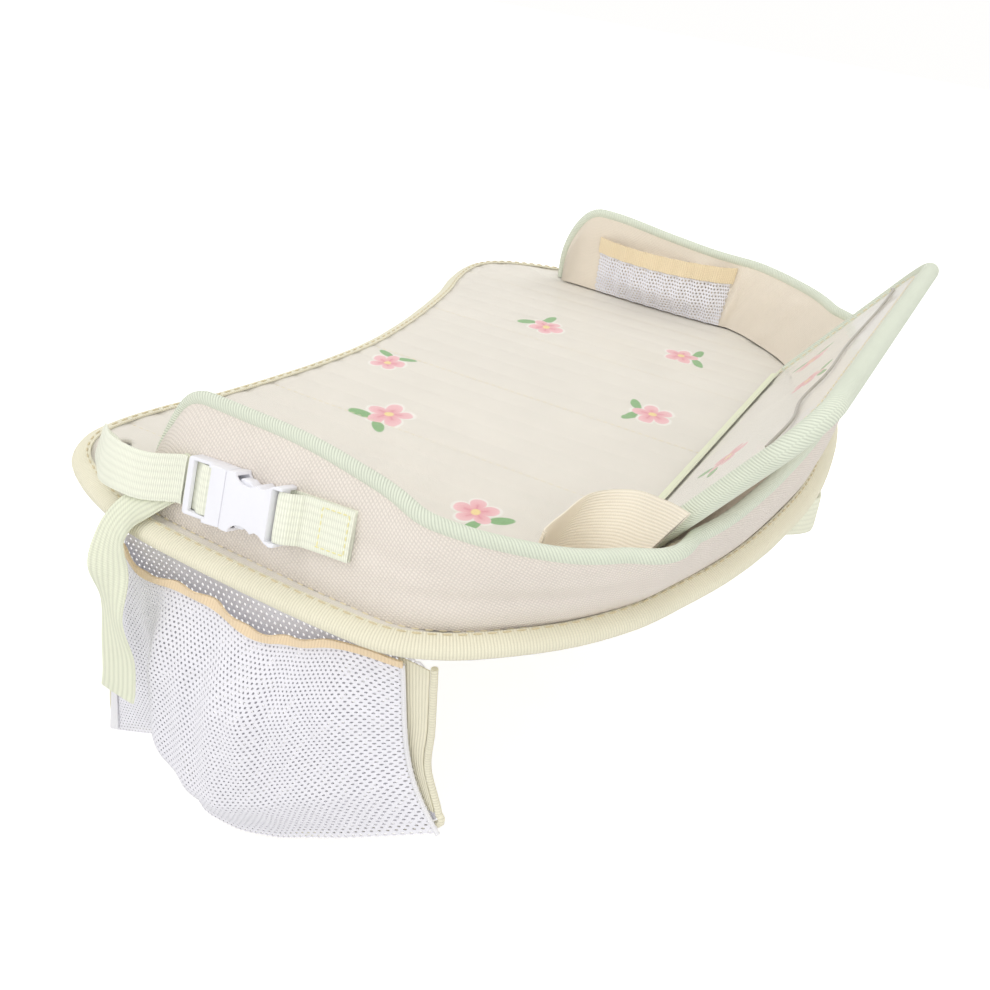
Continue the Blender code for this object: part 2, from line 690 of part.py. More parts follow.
def flap():
    """Add the tablet flap, built in its own plane and tilted about its hinge line."""
    lean_out = Vector((0, -math.cos(FLAP_LEAN), math.sin(FLAP_LEAN)))
    lean_up = Vector((0, math.sin(FLAP_LEAN), math.cos(FLAP_LEAN)))
    origin = Vector((0, FLAP_HINGE_Y, FLAP_HINGE_Z))
    hinge = frame_empty("flap_hinge", origin, Vector((1, 0, 0)), lean_up, lean_out)
    inset = 2 * FLAP_EDGE_RADIUS + GAP
    depth = 0.0
    layers = (("flap_film", FLAP_FILM_THICK, "film"), ("flap_front_panel", FLAP_CLOTH_THICK, "quilt"),
              ("flap_board", FLAP_BOARD_THICK, "board"), ("flap_back_panel", FLAP_CLOTH_THICK, "beige"))
    for name, thickness, colour in layers:
        outline = [point - Vector((0, 0, depth)) for point in flap_outline(inset, FLAP_FOOT)]
        add_mesh(name, plate(outline, Vector((0, 0, -thickness))), colour, parent=hinge)
        depth += thickness + GAP
    middle = [point - Vector((0, 0, FLAP_EDGE_SETBACK))
              for point in flap_outline(FLAP_EDGE_RADIUS, 2 * FLAP_FOOT)]
    tube("flap_edge_piping", middle, FLAP_EDGE_RADIUS, "mint", parent=hinge)
    hinge_tape()


def hinge_tape():
    """Add the tape that sews the flap's foot to the floor."""
    side = FLAP_HALF_WIDTH - FLAP_EDGE_RADIUS
    front, back = FLAP_HINGE_Y - HINGE_TAPE_FRONT, FLAP_HINGE_Y + HINGE_TAPE_BACK
    low = FILM_TOP + GAP
    corners = [Vector((side, front, low)), Vector((side, back, low)),
               Vector((-side, back, low)), Vector((-side, front, low))]
    add_mesh("flap_hinge_tape", plate(corners, Vector((0, 0, HINGE_TAPE_THICK))), "cream")


def route_points(shares):
    """Return a belt route's centre points and width directions in metres."""
    rows = []
    for x, y, z, *across in shares:
        reach = BACK_REACH if y > 0 else FRONT_REACH
        rows.append((x * HALF_WIDTH, y * reach, z * WALL_HEIGHT, *across))
    return rows


def flap_strap():
    """Add the slack elastic from the near wall's lining to the flap's near edge."""
    side = FLAP_HALF_WIDTH / HALF_WIDTH
    shares = [(side + x * (1 - side), *rest) for x, *rest in STRAP_ROUTE_SHARES]
    add_mesh("flap_strap", ribbon(route_points(shares), STRAP_WIDTH, STRAP_THICK), "elastic")


# Buckle and belt

def buckle_frame():
    """Return the buckle's origin on the wall's outer face, and its along, up and out directions."""
    distance = BUCKLE_PATH_SHARE * WALL_REACH
    step = WALL_TOP_WIDTH

    def face(place, rise):
        top_z = wall_top(place) - WALL_CLEAR
        return RIM.place(place, outer_inset(place, top_z, rise), FLOOR_Z + rise * (top_z - FLOOR_Z))
    rise = BUCKLE_RISE_SHARE
    along = (face(distance - step, rise) - face(distance + step, rise)).normalized()
    up = (face(distance, rise + 0.1) - face(distance, rise - 0.1)).normalized()
    out = along.cross(up).normalized()
    up = out.cross(along)
    tilted = along * math.cos(BUCKLE_TILT) + up * math.sin(BUCKLE_TILT)
    return face(distance, rise) + out * BUCKLE_STANDOFF, tilted, out.cross(tilted), out


def outline_prism(outline, low, high):
    """Return a prism on an outline of (along, up) points between two heights out of the wall."""
    points = [Vector((along, up, low)) for along, up in outline]
    return plate(points, Vector((0, 0, high - low)))


def mirrored(outline):
    """Return a half outline completed by its mirror image below the belt's middle line."""
    return list(outline) + [(along, -up) for along, up in reversed(outline)]


def box(along, up, out):
    """Return a box between two limits on each of the three directions."""
    outline = ((along[0], up[0]), (along[1], up[0]), (along[1], up[1]), (along[0], up[1]))
    return outline_prism(outline, out[0], out[1])


MOUTH = -SOCKET_LENGTH
WINDOW_MIDDLE = 0.62 * MOUTH
WINDOW_HALF = 0.22 * SOCKET_LENGTH
WAIST = 0.36 * MOUTH
CAVITY_END = 0.40 * MOUTH


def buckle_socket(mount):
    """Add the buckle's socket, with its mouth, side windows, waist and flared web slot."""
    half = SOCKET_HALF_WIDTH
    outline = mirrored((
        (MOUTH, 0.97 * half), (0.93 * MOUTH, half), (0.84 * MOUTH, half), (0.62 * MOUTH, 0.97 * half),
        (0.46 * MOUTH, 0.84 * half), (WAIST, 0.72 * half), (0.28 * MOUTH, 0.76 * half),
        (0.17 * MOUTH, 0.93 * half), (0.08 * MOUTH, half), (0.0, 0.97 * half)))
    socket = add_mesh("buckle_socket", outline_prism(outline, 0.0, BUCKLE_THICK), "white",
                      parent=mount, roughness=0.35)
    inner = half - SOCKET_WALL
    cavity = outline_prism(mirrored(((MOUTH - GAP, inner), (0.58 * MOUTH, inner), (0.47 * MOUTH, 0.66 * half),
                                     (CAVITY_END, 0.60 * half))), SOCKET_WALL, BUCKLE_THICK - SOCKET_WALL)
    cut(socket, cutter("cavity_cutter", cavity, mount))
    slot_end = 0.17 * MOUTH
    reach = WEBBING_WIDTH / 2 + GAP
    web = box((slot_end, slot_end + WEB_SLOT - 0.5 * END_BAR), (-reach, reach),
              (-BUCKLE_THICK, 2 * BUCKLE_THICK))
    cut(socket, cutter("web_slot_cutter", web, mount))
    for name, sign in (("upper", 1), ("lower", -1)):
        outline = []
        for step in range(16):
            angle = 2 * math.pi * step / 16
            outline.append((WINDOW_MIDDLE + WINDOW_HALF * math.cos(angle),
                            sign * (half + 0.34 * half * math.sin(angle))))
        window = outline_prism(outline, -BUCKLE_THICK, 2 * BUCKLE_THICK)
        cut(socket, cutter("window_cutter_" + name, window, mount))
    thin_end = box((slot_end + WEB_SLOT - 0.5 * END_BAR - GAP, 2 * END_BAR), (-WEBBING_WIDTH / 2 - GAP,
                   WEBBING_WIDTH / 2 + GAP), (END_BAR + WEBBING_THICK + 2 * GAP + END_BAR, 2 * BUCKLE_THICK))
    cut(socket, cutter("end_bar_top_cutter", thin_end, mount))
    under_end = box((slot_end + WEB_SLOT - 0.5 * END_BAR - GAP, 2 * END_BAR), (-WEBBING_WIDTH / 2 - GAP,
                    WEBBING_WIDTH / 2 + GAP), (-BUCKLE_THICK, END_BAR + WEBBING_THICK))
    cut(socket, cutter("end_bar_under_cutter", under_end, mount))


FRAME_END = MOUTH - GAP - PLUG_SHOULDER - FRAME_LENGTH
BODY_START = MOUTH - GAP - PLUG_SHOULDER
LOW_LAYER = WEBBING_THICK / 2 + GAP
HIGH_LAYER = LOW_LAYER + WEBBING_THICK + GAP
BAR_LOW = HIGH_LAYER + WEBBING_THICK / 2 + GAP


def buckle_plug(mount):
    """Add the buckle's plug: shoulder, guide tongue and the frame that the belt is threaded through."""
    half = SOCKET_HALF_WIDTH
    shoulder = mirrored((
        (FRAME_END, 0.94 * half), (FRAME_END + FRAME_RAIL / 2, half), (BODY_START, half),
        (MOUTH - GAP, 0.97 * half)))
    plug = add_mesh("buckle_plug", outline_prism(shoulder, 0.0, BUCKLE_THICK), "white",
                    parent=mount, roughness=0.35)
    rail = half - SIDE_RAIL
    window = box((FRAME_END + FRAME_BAR, BODY_START), (-rail, rail), (-BUCKLE_THICK, 2 * BUCKLE_THICK))
    cut(plug, cutter("frame_window_cutter", window, mount))
    low_frame = box((FRAME_END - FRAME_BAR, BODY_START - FRAME_BAR / 2), (-2 * half, 2 * half),
                    (FRAME_THICK, 2 * BUCKLE_THICK))
    cut(plug, cutter("frame_top_cutter", low_frame, mount))
    under_bar = box((FRAME_END - FRAME_BAR, FRAME_END + FRAME_BAR + GAP), (-rail, rail),
                    (-BUCKLE_THICK, BAR_LOW))
    cut(plug, cutter("frame_bar_cutter", under_bar, mount))
    middle = 0.5 * (FRAME_END + FRAME_BAR + BODY_START)
    bar = box((middle - FRAME_BAR / 2, middle + FRAME_BAR / 2), (-rail - GAP, rail + GAP),
              (LOW_LAYER + WEBBING_THICK / 2 + 2 * GAP, LOW_LAYER + WEBBING_THICK / 2 + FRAME_RAIL))
    join(plug, cutter("middle_bar", bar, mount))
    tongue = box((MOUTH - 2 * GAP, CAVITY_END + MOUTH / 12), (-TONGUE_HALF_WIDTH, TONGUE_HALF_WIDTH),
                 (SOCKET_WALL + 2 * GAP, BUCKLE_THICK - SOCKET_WALL - 2 * GAP))
    join(plug, cutter("guide_tongue", tongue, mount))
    return middle


def buckle_prongs(mount):
    """Add the two sprung prongs, whose pads show in the socket's windows."""
    half = SOCKET_HALF_WIDTH
    inner = half - SOCKET_WALL - 2 * GAP
    low, high = SOCKET_WALL + 2 * GAP, BUCKLE_THICK - SOCKET_WALL - 2 * GAP
    root = MOUTH + GAP
    tip = 0.50 * MOUTH
    arm = TONGUE_HALF_WIDTH + PRONG_ROOM
    for name, sign in (("upper", 1), ("lower", -1)):
        outline = ((root, arm), (0.70 * MOUTH, arm), (tip, arm + GAP), (tip, 0.68 * half),
                   (0.56 * MOUTH, 0.84 * inner), (0.64 * MOUTH, inner), (0.78 * MOUTH, inner),
                   (0.84 * MOUTH, 0.80 * inner), (root, 0.72 * inner))
        hinge = bpy.data.objects.new("prong_hinge_" + name, None)
        bpy.context.collection.objects.link(hinge)
        hinge.parent = mount
        hinge.location = (root, sign * arm, low)
        shape = [(along - root, sign * (up - arm)) for along, up in outline]
        add_mesh("buckle_prong_" + name, outline_prism(shape, 0.0, high - low), "white",
                 parent=hinge, roughness=0.35)


def webbing_in_buckle(mount, middle):
    """Add the belt's turn round the frame's middle bar, with both layers passing under the end bar."""
    start = FRAME_END - FRAME_BAR
    turn = FRAME_BAR / 2 + WEBBING_THICK / 2 + 2 * GAP
    over = LOW_LAYER + WEBBING_THICK / 2 + FRAME_RAIL + WEBBING_THICK / 2 + GAP
    across = (0, 1, 0)
    places = ((start, HIGH_LAYER), (FRAME_END + FRAME_BAR, HIGH_LAYER),
              (middle - turn - GAP, 0.5 * (HIGH_LAYER + over)), (middle - FRAME_BAR / 2, over),
              (middle + FRAME_BAR / 4, over + GAP), (middle + 0.8 * turn, 0.95 * over),
              (middle + turn, 0.5 * (over + LOW_LAYER)),
              (middle + 0.8 * turn, 0.15 * over + 0.85 * LOW_LAYER),
              (middle + FRAME_BAR / 4, LOW_LAYER - GAP), (middle - FRAME_BAR / 2, LOW_LAYER),
              (middle - turn, LOW_LAYER), (FRAME_END + FRAME_BAR, LOW_LAYER), (start, LOW_LAYER))
    route = [(along, 0, out, *across) for along, out in places]
    add_mesh("webbing_loop", ribbon(route, WEBBING_WIDTH, WEBBING_THICK, 3), "lime", parent=mount)


def webbing_anchor(mount):
    """Add the doubled webbing that is sewn to the wall and turned round the socket's end bar."""
    slot = 0.17 * MOUTH + 0.5 * (WEB_SLOT - 0.5 * END_BAR)
    bar_top = END_BAR + WEBBING_THICK + 2 * GAP + END_BAR
    low = WEBBING_THICK / 2 - BUCKLE_STANDOFF + GAP
    bar_end = -0.5 * (END_BAR - WEB_SLOT)
    top = bar_top + WEBBING_THICK / 2 + GAP
    places = ((ANCHOR_LENGTH, low), (0.5 * ANCHOR_LENGTH, low), (bar_end, low + GAP),
              (slot + GAP, 0.25 * top), (slot, 0.6 * top), (slot + 2 * GAP, 0.93 * top),
              (slot + END_BAR, top + GAP), (END_BAR, 0.92 * top),
              (2.2 * END_BAR, 0.55 * top), (4 * END_BAR, low + WEBBING_THICK + 2 * GAP),
              (ANCHOR_LENGTH, low + WEBBING_THICK + GAP))
    route = [(along, 0, out, 0, 1, 0) for along, out in places]
    add_mesh("webbing_anchor", ribbon(route, WEBBING_WIDTH, WEBBING_THICK, 3), "lime", parent=mount)


def strap_start(origin, along, up, out, layer):
    """Return the first two rows of a strap that leaves the buckle's frame in one of its layers."""
    rows = []
    for reach in (FRAME_BAR + 3 * GAP, FRAME_BAR + FRAME_LENGTH / 3):
        centre = origin + along * (FRAME_END - reach) + out * layer
        rows.append((*centre, *up))
    return rows


def belt():
    """Add the buckle, the belt's threaded end, its free tail and its slack run under the base."""
    origin, along, up, out = buckle_frame()
    mount = frame_empty("buckle_mount", origin, along, up, out)
    buckle_socket(mount)
    middle = buckle_plug(mount)
    buckle_prongs(mount)
    webbing_in_buckle(mount, middle)
    webbing_anchor(mount)
    lead = strap_start(origin, along, up, out, HIGH_LAYER) + route_points(LEAD_ROUTE_SHARES)
    add_mesh("webbing_lead", ribbon(lead, WEBBING_WIDTH, WEBBING_THICK), "lime")
    tail = strap_start(origin, along, up, out, LOW_LAYER) + route_points(TAIL_ROUTE_SHARES)
    add_mesh("webbing_tail", ribbon(tail, WEBBING_WIDTH, WEBBING_THICK), "lime")
    add_mesh("belt_underside", ribbon(route_points(BELT_ROUTE_SHARES), WEBBING_WIDTH, WEBBING_THICK), "lime")


# Side pouch

POUCH_HINGE_Z = -POUCH_HEADER - 2 * GAP


def pouch_point(place, x):
    """Return a point from shares of the pouch's reach to its side and of its depth."""
    y, z = place
    return Vector((x, y * (POUCH_RIGHT if y > 0 else POUCH_LEFT), -z * POUCH_DEPTH))


def pouch():
    """Add the mesh side pouch, hung from a header tape under the near rim."""
    hinge = bpy.data.objects.new("pouch_hinge", None)
    bpy.context.collection.objects.link(hinge)
    hinge.location = (POUCH_SEAM_X, 0, POUCH_HINGE_Z)
    local = Vector((POUCH_SEAM_X, 0, POUCH_HINGE_Z))
    left, right = POUCH_HEADER_SHARES[0] * POUCH_LEFT, POUCH_HEADER_SHARES[1] * POUCH_RIGHT
    header = [Vector((POUCH_SEAM_X - POUCH_SHEET / 2, y, z)) for y, z in (
        (left, -GAP), (right, -GAP), (right, -GAP - POUCH_HEADER), (left, -GAP - POUCH_HEADER))]
    add_mesh("pouch_header_tape", plate(header, Vector((POUCH_SHEET, 0, 0))), "cream")
    edge = through_points([tuple(pouch_point(place, POUCH_SEAM_X)) for place in POUCH_BACK_SHARES], 4)
    outline = [Vector((POUCH_SEAM_X - POUCH_SHEET / 2, y, z)) - local for _, y, z in edge]
    add_mesh("pouch_back_panel", plate(outline, Vector((POUCH_SHEET, 0, 0))), "mesh", parent=hinge)
    spin = float(np.dot(edge[:-1, 1], edge[1:, 2]) - np.dot(edge[1:, 1], edge[:-1, 2]))
    reach = POUCH_EDGE_RADIUS + 2 * GAP
    grown = []
    for point, tangent in zip(edge, np.gradient(edge, axis=0)):
        side = np.array([0, tangent[2], -tangent[1]]) / np.linalg.norm(tangent)
        side *= math.copysign(reach, spin)
        if np.linalg.norm(edge - point - side, axis=1).min() > reach - GAP / 2:
            grown.append(Vector(point + side) - local)
    tube("pouch_binding", grown, POUCH_EDGE_RADIUS, "cream", parent=hinge, resolution=1)
    pouch_bag(hinge, local)


def bag_surface(along, down):
    """Return a point of the pouch's front, from shares along its width and down its height."""
    hem = through_points(POUCH_HEM_SHARES, 4)
    foot = through_points(POUCH_BOTTOM_SHARES, 4)
    top = np.array([np.interp(along, np.linspace(0, 1, len(hem)), hem[:, k]) for k in range(2)])
    low = np.array([np.interp(along, np.linspace(0, 1, len(foot)), foot[:, k]) for k in range(2)])
    y, z = top + (low - top) * down
    y -= POUCH_NOTCH_SHARE * math.sin(math.pi * down ** 1.7) * fade((along - 0.55) / 0.45)
    crown = math.sin(math.pi * min(max(along, 0.0), 1.0)) ** 0.8
    profile = (0.36 + 0.64 * fade(2.5 * down)) * (1 - fade((down - 0.72) / 0.28))
    folds = POUCH_FOLD * math.sin(2 * math.pi * (3.4 * along + 0.12)) * fade(2.5 * down) * crown
    x = POUCH_SEAM_X + POUCH_EDGE_RADIUS + 1.5 * GAP + POUCH_BULGE * crown * profile + folds * (1.0 - down)
    return pouch_point((y, z), x)


def pouch_bag(hinge, local):
    """Add the pouch's mesh front with its main folds, and the wavy elastic along its hem."""
    columns, rows = 44, 12
    share = POUCH_HEM_HEIGHT / (0.85 * POUCH_DEPTH)
    inward = Vector((-POUCH_SHEET, 0, 0))
    below = share * (1 + GAP / POUCH_HEM_HEIGHT)
    for name, start, end, levels, colour in (("pouch_hem_elastic", 0.0, share, 2, "elastic"),
                                             ("pouch_mesh", below, 1.0, rows, "mesh")):
        grid = []
        for i in range(columns + 1):
            line = [bag_surface(i / columns, start + (end - start) * j / levels) for j in range(levels + 1)]
            grid.append([point - local - inward for point in line])
        add_mesh(name, sheet(grid, lambda i, j: inward), colour, parent=hinge)


def main():
    """Clear the scene and build the tray."""
    for item in list(bpy.data.objects):
        bpy.data.objects.remove(item, do_unlink=True)
    base()
    wall()
    inner_pocket()
    flap()
    flap_strap()
    belt()
    pouch()


main()
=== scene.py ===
"""Looks of a car seat tray table: soft wall, quilted floor, tablet flap, buckled belt and mesh pouch."""
import logging
import math
from dataclasses import dataclass
from enum import Enum
from typing import Any, Callable, Optional, Sequence

import bpy
import numpy as np
from mathutils import Matrix, Vector, noise


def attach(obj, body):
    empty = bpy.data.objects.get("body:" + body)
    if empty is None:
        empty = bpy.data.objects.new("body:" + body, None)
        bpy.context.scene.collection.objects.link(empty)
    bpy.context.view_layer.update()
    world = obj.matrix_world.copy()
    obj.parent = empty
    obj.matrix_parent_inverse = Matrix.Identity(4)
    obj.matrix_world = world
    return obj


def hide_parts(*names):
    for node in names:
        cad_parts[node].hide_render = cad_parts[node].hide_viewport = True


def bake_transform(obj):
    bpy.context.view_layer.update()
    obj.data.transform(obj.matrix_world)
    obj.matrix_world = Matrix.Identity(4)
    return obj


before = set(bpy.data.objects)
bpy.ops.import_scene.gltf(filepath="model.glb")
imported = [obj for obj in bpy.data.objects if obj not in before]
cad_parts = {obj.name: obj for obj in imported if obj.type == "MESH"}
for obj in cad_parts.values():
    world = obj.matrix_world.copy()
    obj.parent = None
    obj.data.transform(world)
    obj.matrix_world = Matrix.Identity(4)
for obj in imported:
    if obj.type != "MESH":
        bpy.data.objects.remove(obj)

LOG = logging.getLogger("tray")
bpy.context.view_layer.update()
Table = Sequence[Sequence[float]]


# Curves and tables

def srgb(red: int, green: int, blue: int) -> tuple[float, float, float, float]:
    """Turn a colour of 0 to 255 as seen on a screen into the linear colour that a shader takes.

    Args:
        red, green, blue: The three parts of the colour.

    Returns:
        The linear colour with an opacity of 1.
    """
    parts = [part / 255 for part in (red, green, blue)]
    return (*(part / 12.92 if part <= 0.04045 else ((part + 0.055) / 1.055) ** 2.4 for part in parts), 1.0)


def through_points(points: Table, steps: int, closed: bool = False) -> np.ndarray:
    """Sample a smooth curve through rows of numbers.

    Args:
        points: The rows that the curve passes through.
        steps: The samples between two rows.
        closed: Whether the curve returns to its first row.

    Returns:
        One row for each sample.
    """
    rows = np.array(points, float)
    count = len(rows)
    samples = []
    for index in range(count if closed else count - 1):
        if closed:
            before, start, end, after = (rows[(index + k) % count] for k in (-1, 0, 1, 2))
        else:
            start, end = rows[index], rows[index + 1]
            before = rows[index - 1] if index else 2 * start - end
            after = rows[index + 2] if index + 2 < count else 2 * end - start
        for step in range(steps):
            t = step / steps
            samples.append(start + 0.5 * t * (end - before + t * (2 * before - 5 * start + 4 * end - after
                           + t * (3 * (start - end) + after - before))))
    if not closed:
        samples.append(rows[-1])
    return np.array(samples)


def eased(table: Table, share: float) -> float:
    """Read a table at a share of its path, on a smooth curve through the table's rows.

    Args:
        table: Rows of a place and the value there.
        share: The place to read.

    Returns:
        The value at that place.
    """
    rows = np.array(table)
    slopes = np.gradient(rows[:, 1], rows[:, 0])
    place = min(max(share, rows[0, 0]), rows[-1, 0])
    index = min(max(int(np.searchsorted(rows[:, 0], place)) - 1, 0), len(rows) - 2)
    width = rows[index + 1, 0] - rows[index, 0]
    t = (place - rows[index, 0]) / width
    start, end = rows[index, 1], rows[index + 1, 1]
    rise = (3 - 2 * t) * t * t * (end - start)
    return float(start + rise + width * t * (1 - t) * ((1 - t) * slopes[index] - t * slopes[index + 1]))


def fade(value: float) -> float:
    """Return a smooth step from 0 to 1."""
    t = min(max(value, 0.0), 1.0)
    return t * t * (3 - 2 * t)


def hump(value: float, middle: float, reach: float) -> float:
    """Return a smooth hump of height 1 round a middle, which ends at a reach on either side."""
    return fade(1 - abs(value - middle) / reach)


def ripple(x: float, y: float, size: float, seed: float = 0.0) -> float:
    """Return soft noise from -1 to 1, with lumps of a given size in metres."""
    return noise.noise(Vector((x / size, y / size, seed)))


@dataclass
class TrayOutline:
    """The base's outline, and the wall's profile along it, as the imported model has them."""

    half_width: float = 0.200
    back_reach: float = 0.140
    front_reach: float = 0.130
    gap: float = 0.0003
    floor_z: float = 0.0074
    film_top: float = 0.0078
    wall_height: float = 0.0575
    foot_inset: float = 0.0120
    lean_inset: float = 0.0270
    top_width: float = 0.0060
    bulge: float = 0.0020
    end_round: float = 0.0320
    floor_inset: float = 0.0420
    piping_radius: float = 0.0028
    reach_share: float = 0.62
    flap_half_width: float = 0.1176
    flap_back_y: float = 0.0887 + 0.0064 * 0.7965
    flap_back_z: float = 0.0098 - 0.0064 * 0.6046
    flap_lean: float = math.radians(37.2)

    SHARES = (
        (0.000, 1.000), (0.245, 0.971), (0.425, 0.921), (0.580, 0.850), (0.680, 0.793), (0.785, 0.700),
        (0.875, 0.586), (0.945, 0.471), (0.990, 0.340), (1.000, 0.160), (0.998, -0.120), (0.985, -0.460),
        (0.955, -0.650), (0.915, -0.800), (0.865, -0.915), (0.790, -0.985), (0.700, -0.990), (0.590, -0.955),
        (0.480, -0.900), (0.325, -0.848), (0.165, -0.808), (0.000, -0.790))
    NEAR_HEIGHTS = (
        (0.00, 0.680), (0.14, 0.650), (0.28, 0.615), (0.36, 0.625), (0.46, 0.670), (0.58, 0.780),
        (0.70, 0.890), (0.78, 0.945), (0.86, 0.950), (1.00, 0.950))
    FAR_HEIGHTS = (
        (0.00, 0.680), (0.14, 0.710), (0.28, 0.750), (0.46, 0.790), (0.58, 0.815), (0.70, 0.850),
        (0.78, 0.910), (0.88, 0.995), (1.00, 1.000))
    TOP_INSETS = (
        (0.00, 0.240), (0.20, 0.140), (0.33, 0.040), (0.46, 0.180), (0.58, 0.560), (0.69, 0.890),
        (0.78, 1.000), (1.00, 1.000))
    FOOT_INSETS = ((0.00, 0.780), (0.50, 0.780), (0.75, 1.000), (1.00, 1.000))
    FLOOR_INSETS = (
        (0.00, 1.000), (0.14, 0.950), (0.24, 0.790), (0.33, 0.560), (0.40, 0.540), (0.50, 0.670),
        (0.62, 0.820), (0.75, 0.880), (0.86, 0.810), (1.00, 0.640))

    def __post_init__(self) -> None:
        """Work out the outline's points and the length of the wall."""
        half = [(x * self.half_width, y * (self.back_reach if y > 0 else self.front_reach))
                for x, y in self.SHARES]
        mirrored = [(-x, y) for x, y in half[-2:0:-1]]
        self.points = through_points(half + mirrored, 12, closed=True)
        ends = np.vstack([self.points, self.points[:1]])
        self.lengths = np.concatenate([[0], np.cumsum(np.linalg.norm(np.diff(ends, axis=0), axis=1))])
        self.total = float(self.lengths[-1])
        self.wall_reach = self.reach_share * self.total / 2
        self.wall_low = self.floor_z + 2 * self.piping_radius + 4 * self.gap

    def at(self, distance: float) -> tuple[np.ndarray, np.ndarray]:
        """Find a place on the outline.

        Args:
            distance: The way along the outline from the back's middle, towards +X when positive.

        Returns:
            The point there and its unit normal towards the inside.
        """
        place = distance % self.total
        index = int(np.searchsorted(self.lengths, place, side="right")) - 1
        start = self.points[index]
        end = self.points[(index + 1) % len(self.points)]
        t = (place - self.lengths[index]) / (self.lengths[index + 1] - self.lengths[index])
        before = self.points[index - 1]
        after = self.points[(index + 2) % len(self.points)]
        tangent = (1 - t) * (end - before) + t * (after - start)
        tangent /= np.linalg.norm(tangent)
        return start + t * (end - start), np.array([tangent[1], -tangent[0]])

    def place(self, distance: float, inset: float, z: float) -> np.ndarray:
        """Return the point at an inset from the outline and a height."""
        point, inward = self.at(distance)
        return np.array([*(point + inward * inset), z])

    def signed(self, distance: float) -> float:
        """Return a distance along the outline as a signed one, negative on the far side."""
        place = distance % self.total
        return place if place <= self.total / 2 else place - self.total

    def wall_share(self, distance: float) -> float:
        """Return how far along the wall a distance lies, from 0 at the back to 1 at a front end."""
        return abs(distance) / self.wall_reach

    def wall_top(self, distance: float) -> float:
        """Return the height of the wall's top, before its front ends are rounded."""
        table = self.NEAR_HEIGHTS if distance >= 0 else self.FAR_HEIGHTS
        return self.wall_height * eased(table, self.wall_share(distance))

    def foot(self, distance: float) -> float:
        """Return the inset of the wall's outer foot."""
        return self.foot_inset * eased(self.FOOT_INSETS, self.wall_share(distance))

    def inner_foot(self, distance: float) -> float:
        """Return the inset of the wall's inner foot."""
        return self.floor_inset * eased(self.FLOOR_INSETS, self.wall_share(distance))

    def top(self, distance: float, z: float) -> float:
        """Find the inset of the wall's top edge, which the leaning flap presses outwards at the back.

        Args:
            distance: The way along the outline.
            z: The height of the top there.

        Returns:
            The inset of the edge's middle.
        """
        lean = self.lean_inset * eased(self.TOP_INSETS, self.wall_share(distance))
        middle = 0.5 * (self.foot(distance) + self.inner_foot(distance))
        rise = (z - self.floor_z) / (self.wall_top(distance) - self.floor_z)
        inset = middle + (lean - middle) * fade(1.2 * rise)
        point, inward = self.at(distance)
        here = point + inward * inset
        if here[1] < 0:
            return inset
        flap_y = self.flap_back_y + (z - self.flap_back_z) * math.tan(self.flap_lean)
        needed = flap_y + (self.piping_radius + 2 * self.gap) / math.cos(self.flap_lean)
        beside = fade(1 - (abs(here[0]) - self.flap_half_width) / self.lean_inset)
        push = max(needed - here[1], 0.0) * beside * fade(-2.5 * inward[1] - 0.75)
        return inset - push / max(-inward[1], 0.5)

    def stretch(self, distance: float) -> float:
        """Return how much longer the outline is than the wall's inner edge, at a distance along it."""
        inset = self.inner_foot(distance)
        ahead = self.place(distance + self.top_width, inset, 0)
        span = ahead - self.place(distance - self.top_width, inset, 0)
        return float(2 * self.top_width / np.linalg.norm(span))

    def wall_line(self, offset: float, steps: int = 110, end_steps: int = 14) -> np.ndarray:
        """List the stations of the wall's top edge.

        Args:
            offset: How far the line is moved in from the edge.
            steps: The stations on each side of the back's middle.
            end_steps: The stations round each front end.

        Returns:
            A distance and a height for each station.
        """
        straight = self.wall_reach - self.end_round
        angles = [0.5 * math.pi * step / end_steps for step in range(end_steps)]
        near = [(straight + self.end_round * math.cos(angle), math.sin(angle)) for angle in angles]
        near += [(straight * (1 - step / steps), 1.0) for step in range(steps)]
        line = near + [(0.0, 1.0)] + [(-distance, rise) for distance, rise in reversed(near)]
        stations = np.array([(d, self.wall_low + (self.wall_top(d) - self.wall_low) * rise)
                             for d, rise in line])
        runs = np.diff(stations, axis=0)
        runs /= np.linalg.norm(runs, axis=1)[:, None]
        runs = np.vstack([[(0, 1)], runs[:-1] + runs[1:], [(0, -1)]])
        runs /= np.linalg.norm(runs, axis=1)[:, None]
        outward = np.stack([[rise * self.stretch(d), -run] for (run, rise), d in zip(runs, stations[:, 0])])
        return stations - offset * outward

    def outer(self, distance: float, top_z: float, rise: float) -> float:
        """Return the inset of the wall's outer face at a share of its height."""
        foot = self.foot(distance)
        top = self.top(distance, top_z) - self.top_width / 2
        return foot + rise * (top - foot) - 4 * self.bulge * rise * (1 - rise)

    def inner(self, distance: float, top_z: float, rise: float) -> float:
        """Return the inset of the wall's inner face at a share of its height."""
        foot = self.inner_foot(distance)
        return foot + rise * (self.top(distance, top_z) + self.top_width / 2 - foot)

    def film_inset(self, distance: float) -> float:
        """Return the film's inset: at the wall's inner foot, and at the binding between the front ends."""
        place = self.signed(distance)
        past = fade((abs(place) - self.wall_reach) / self.end_round)
        inside = self.inner_foot(place) + 0.0011
        return inside + past * (0.0073 - inside)


OUTLINE = TrayOutline()


# Mesh making

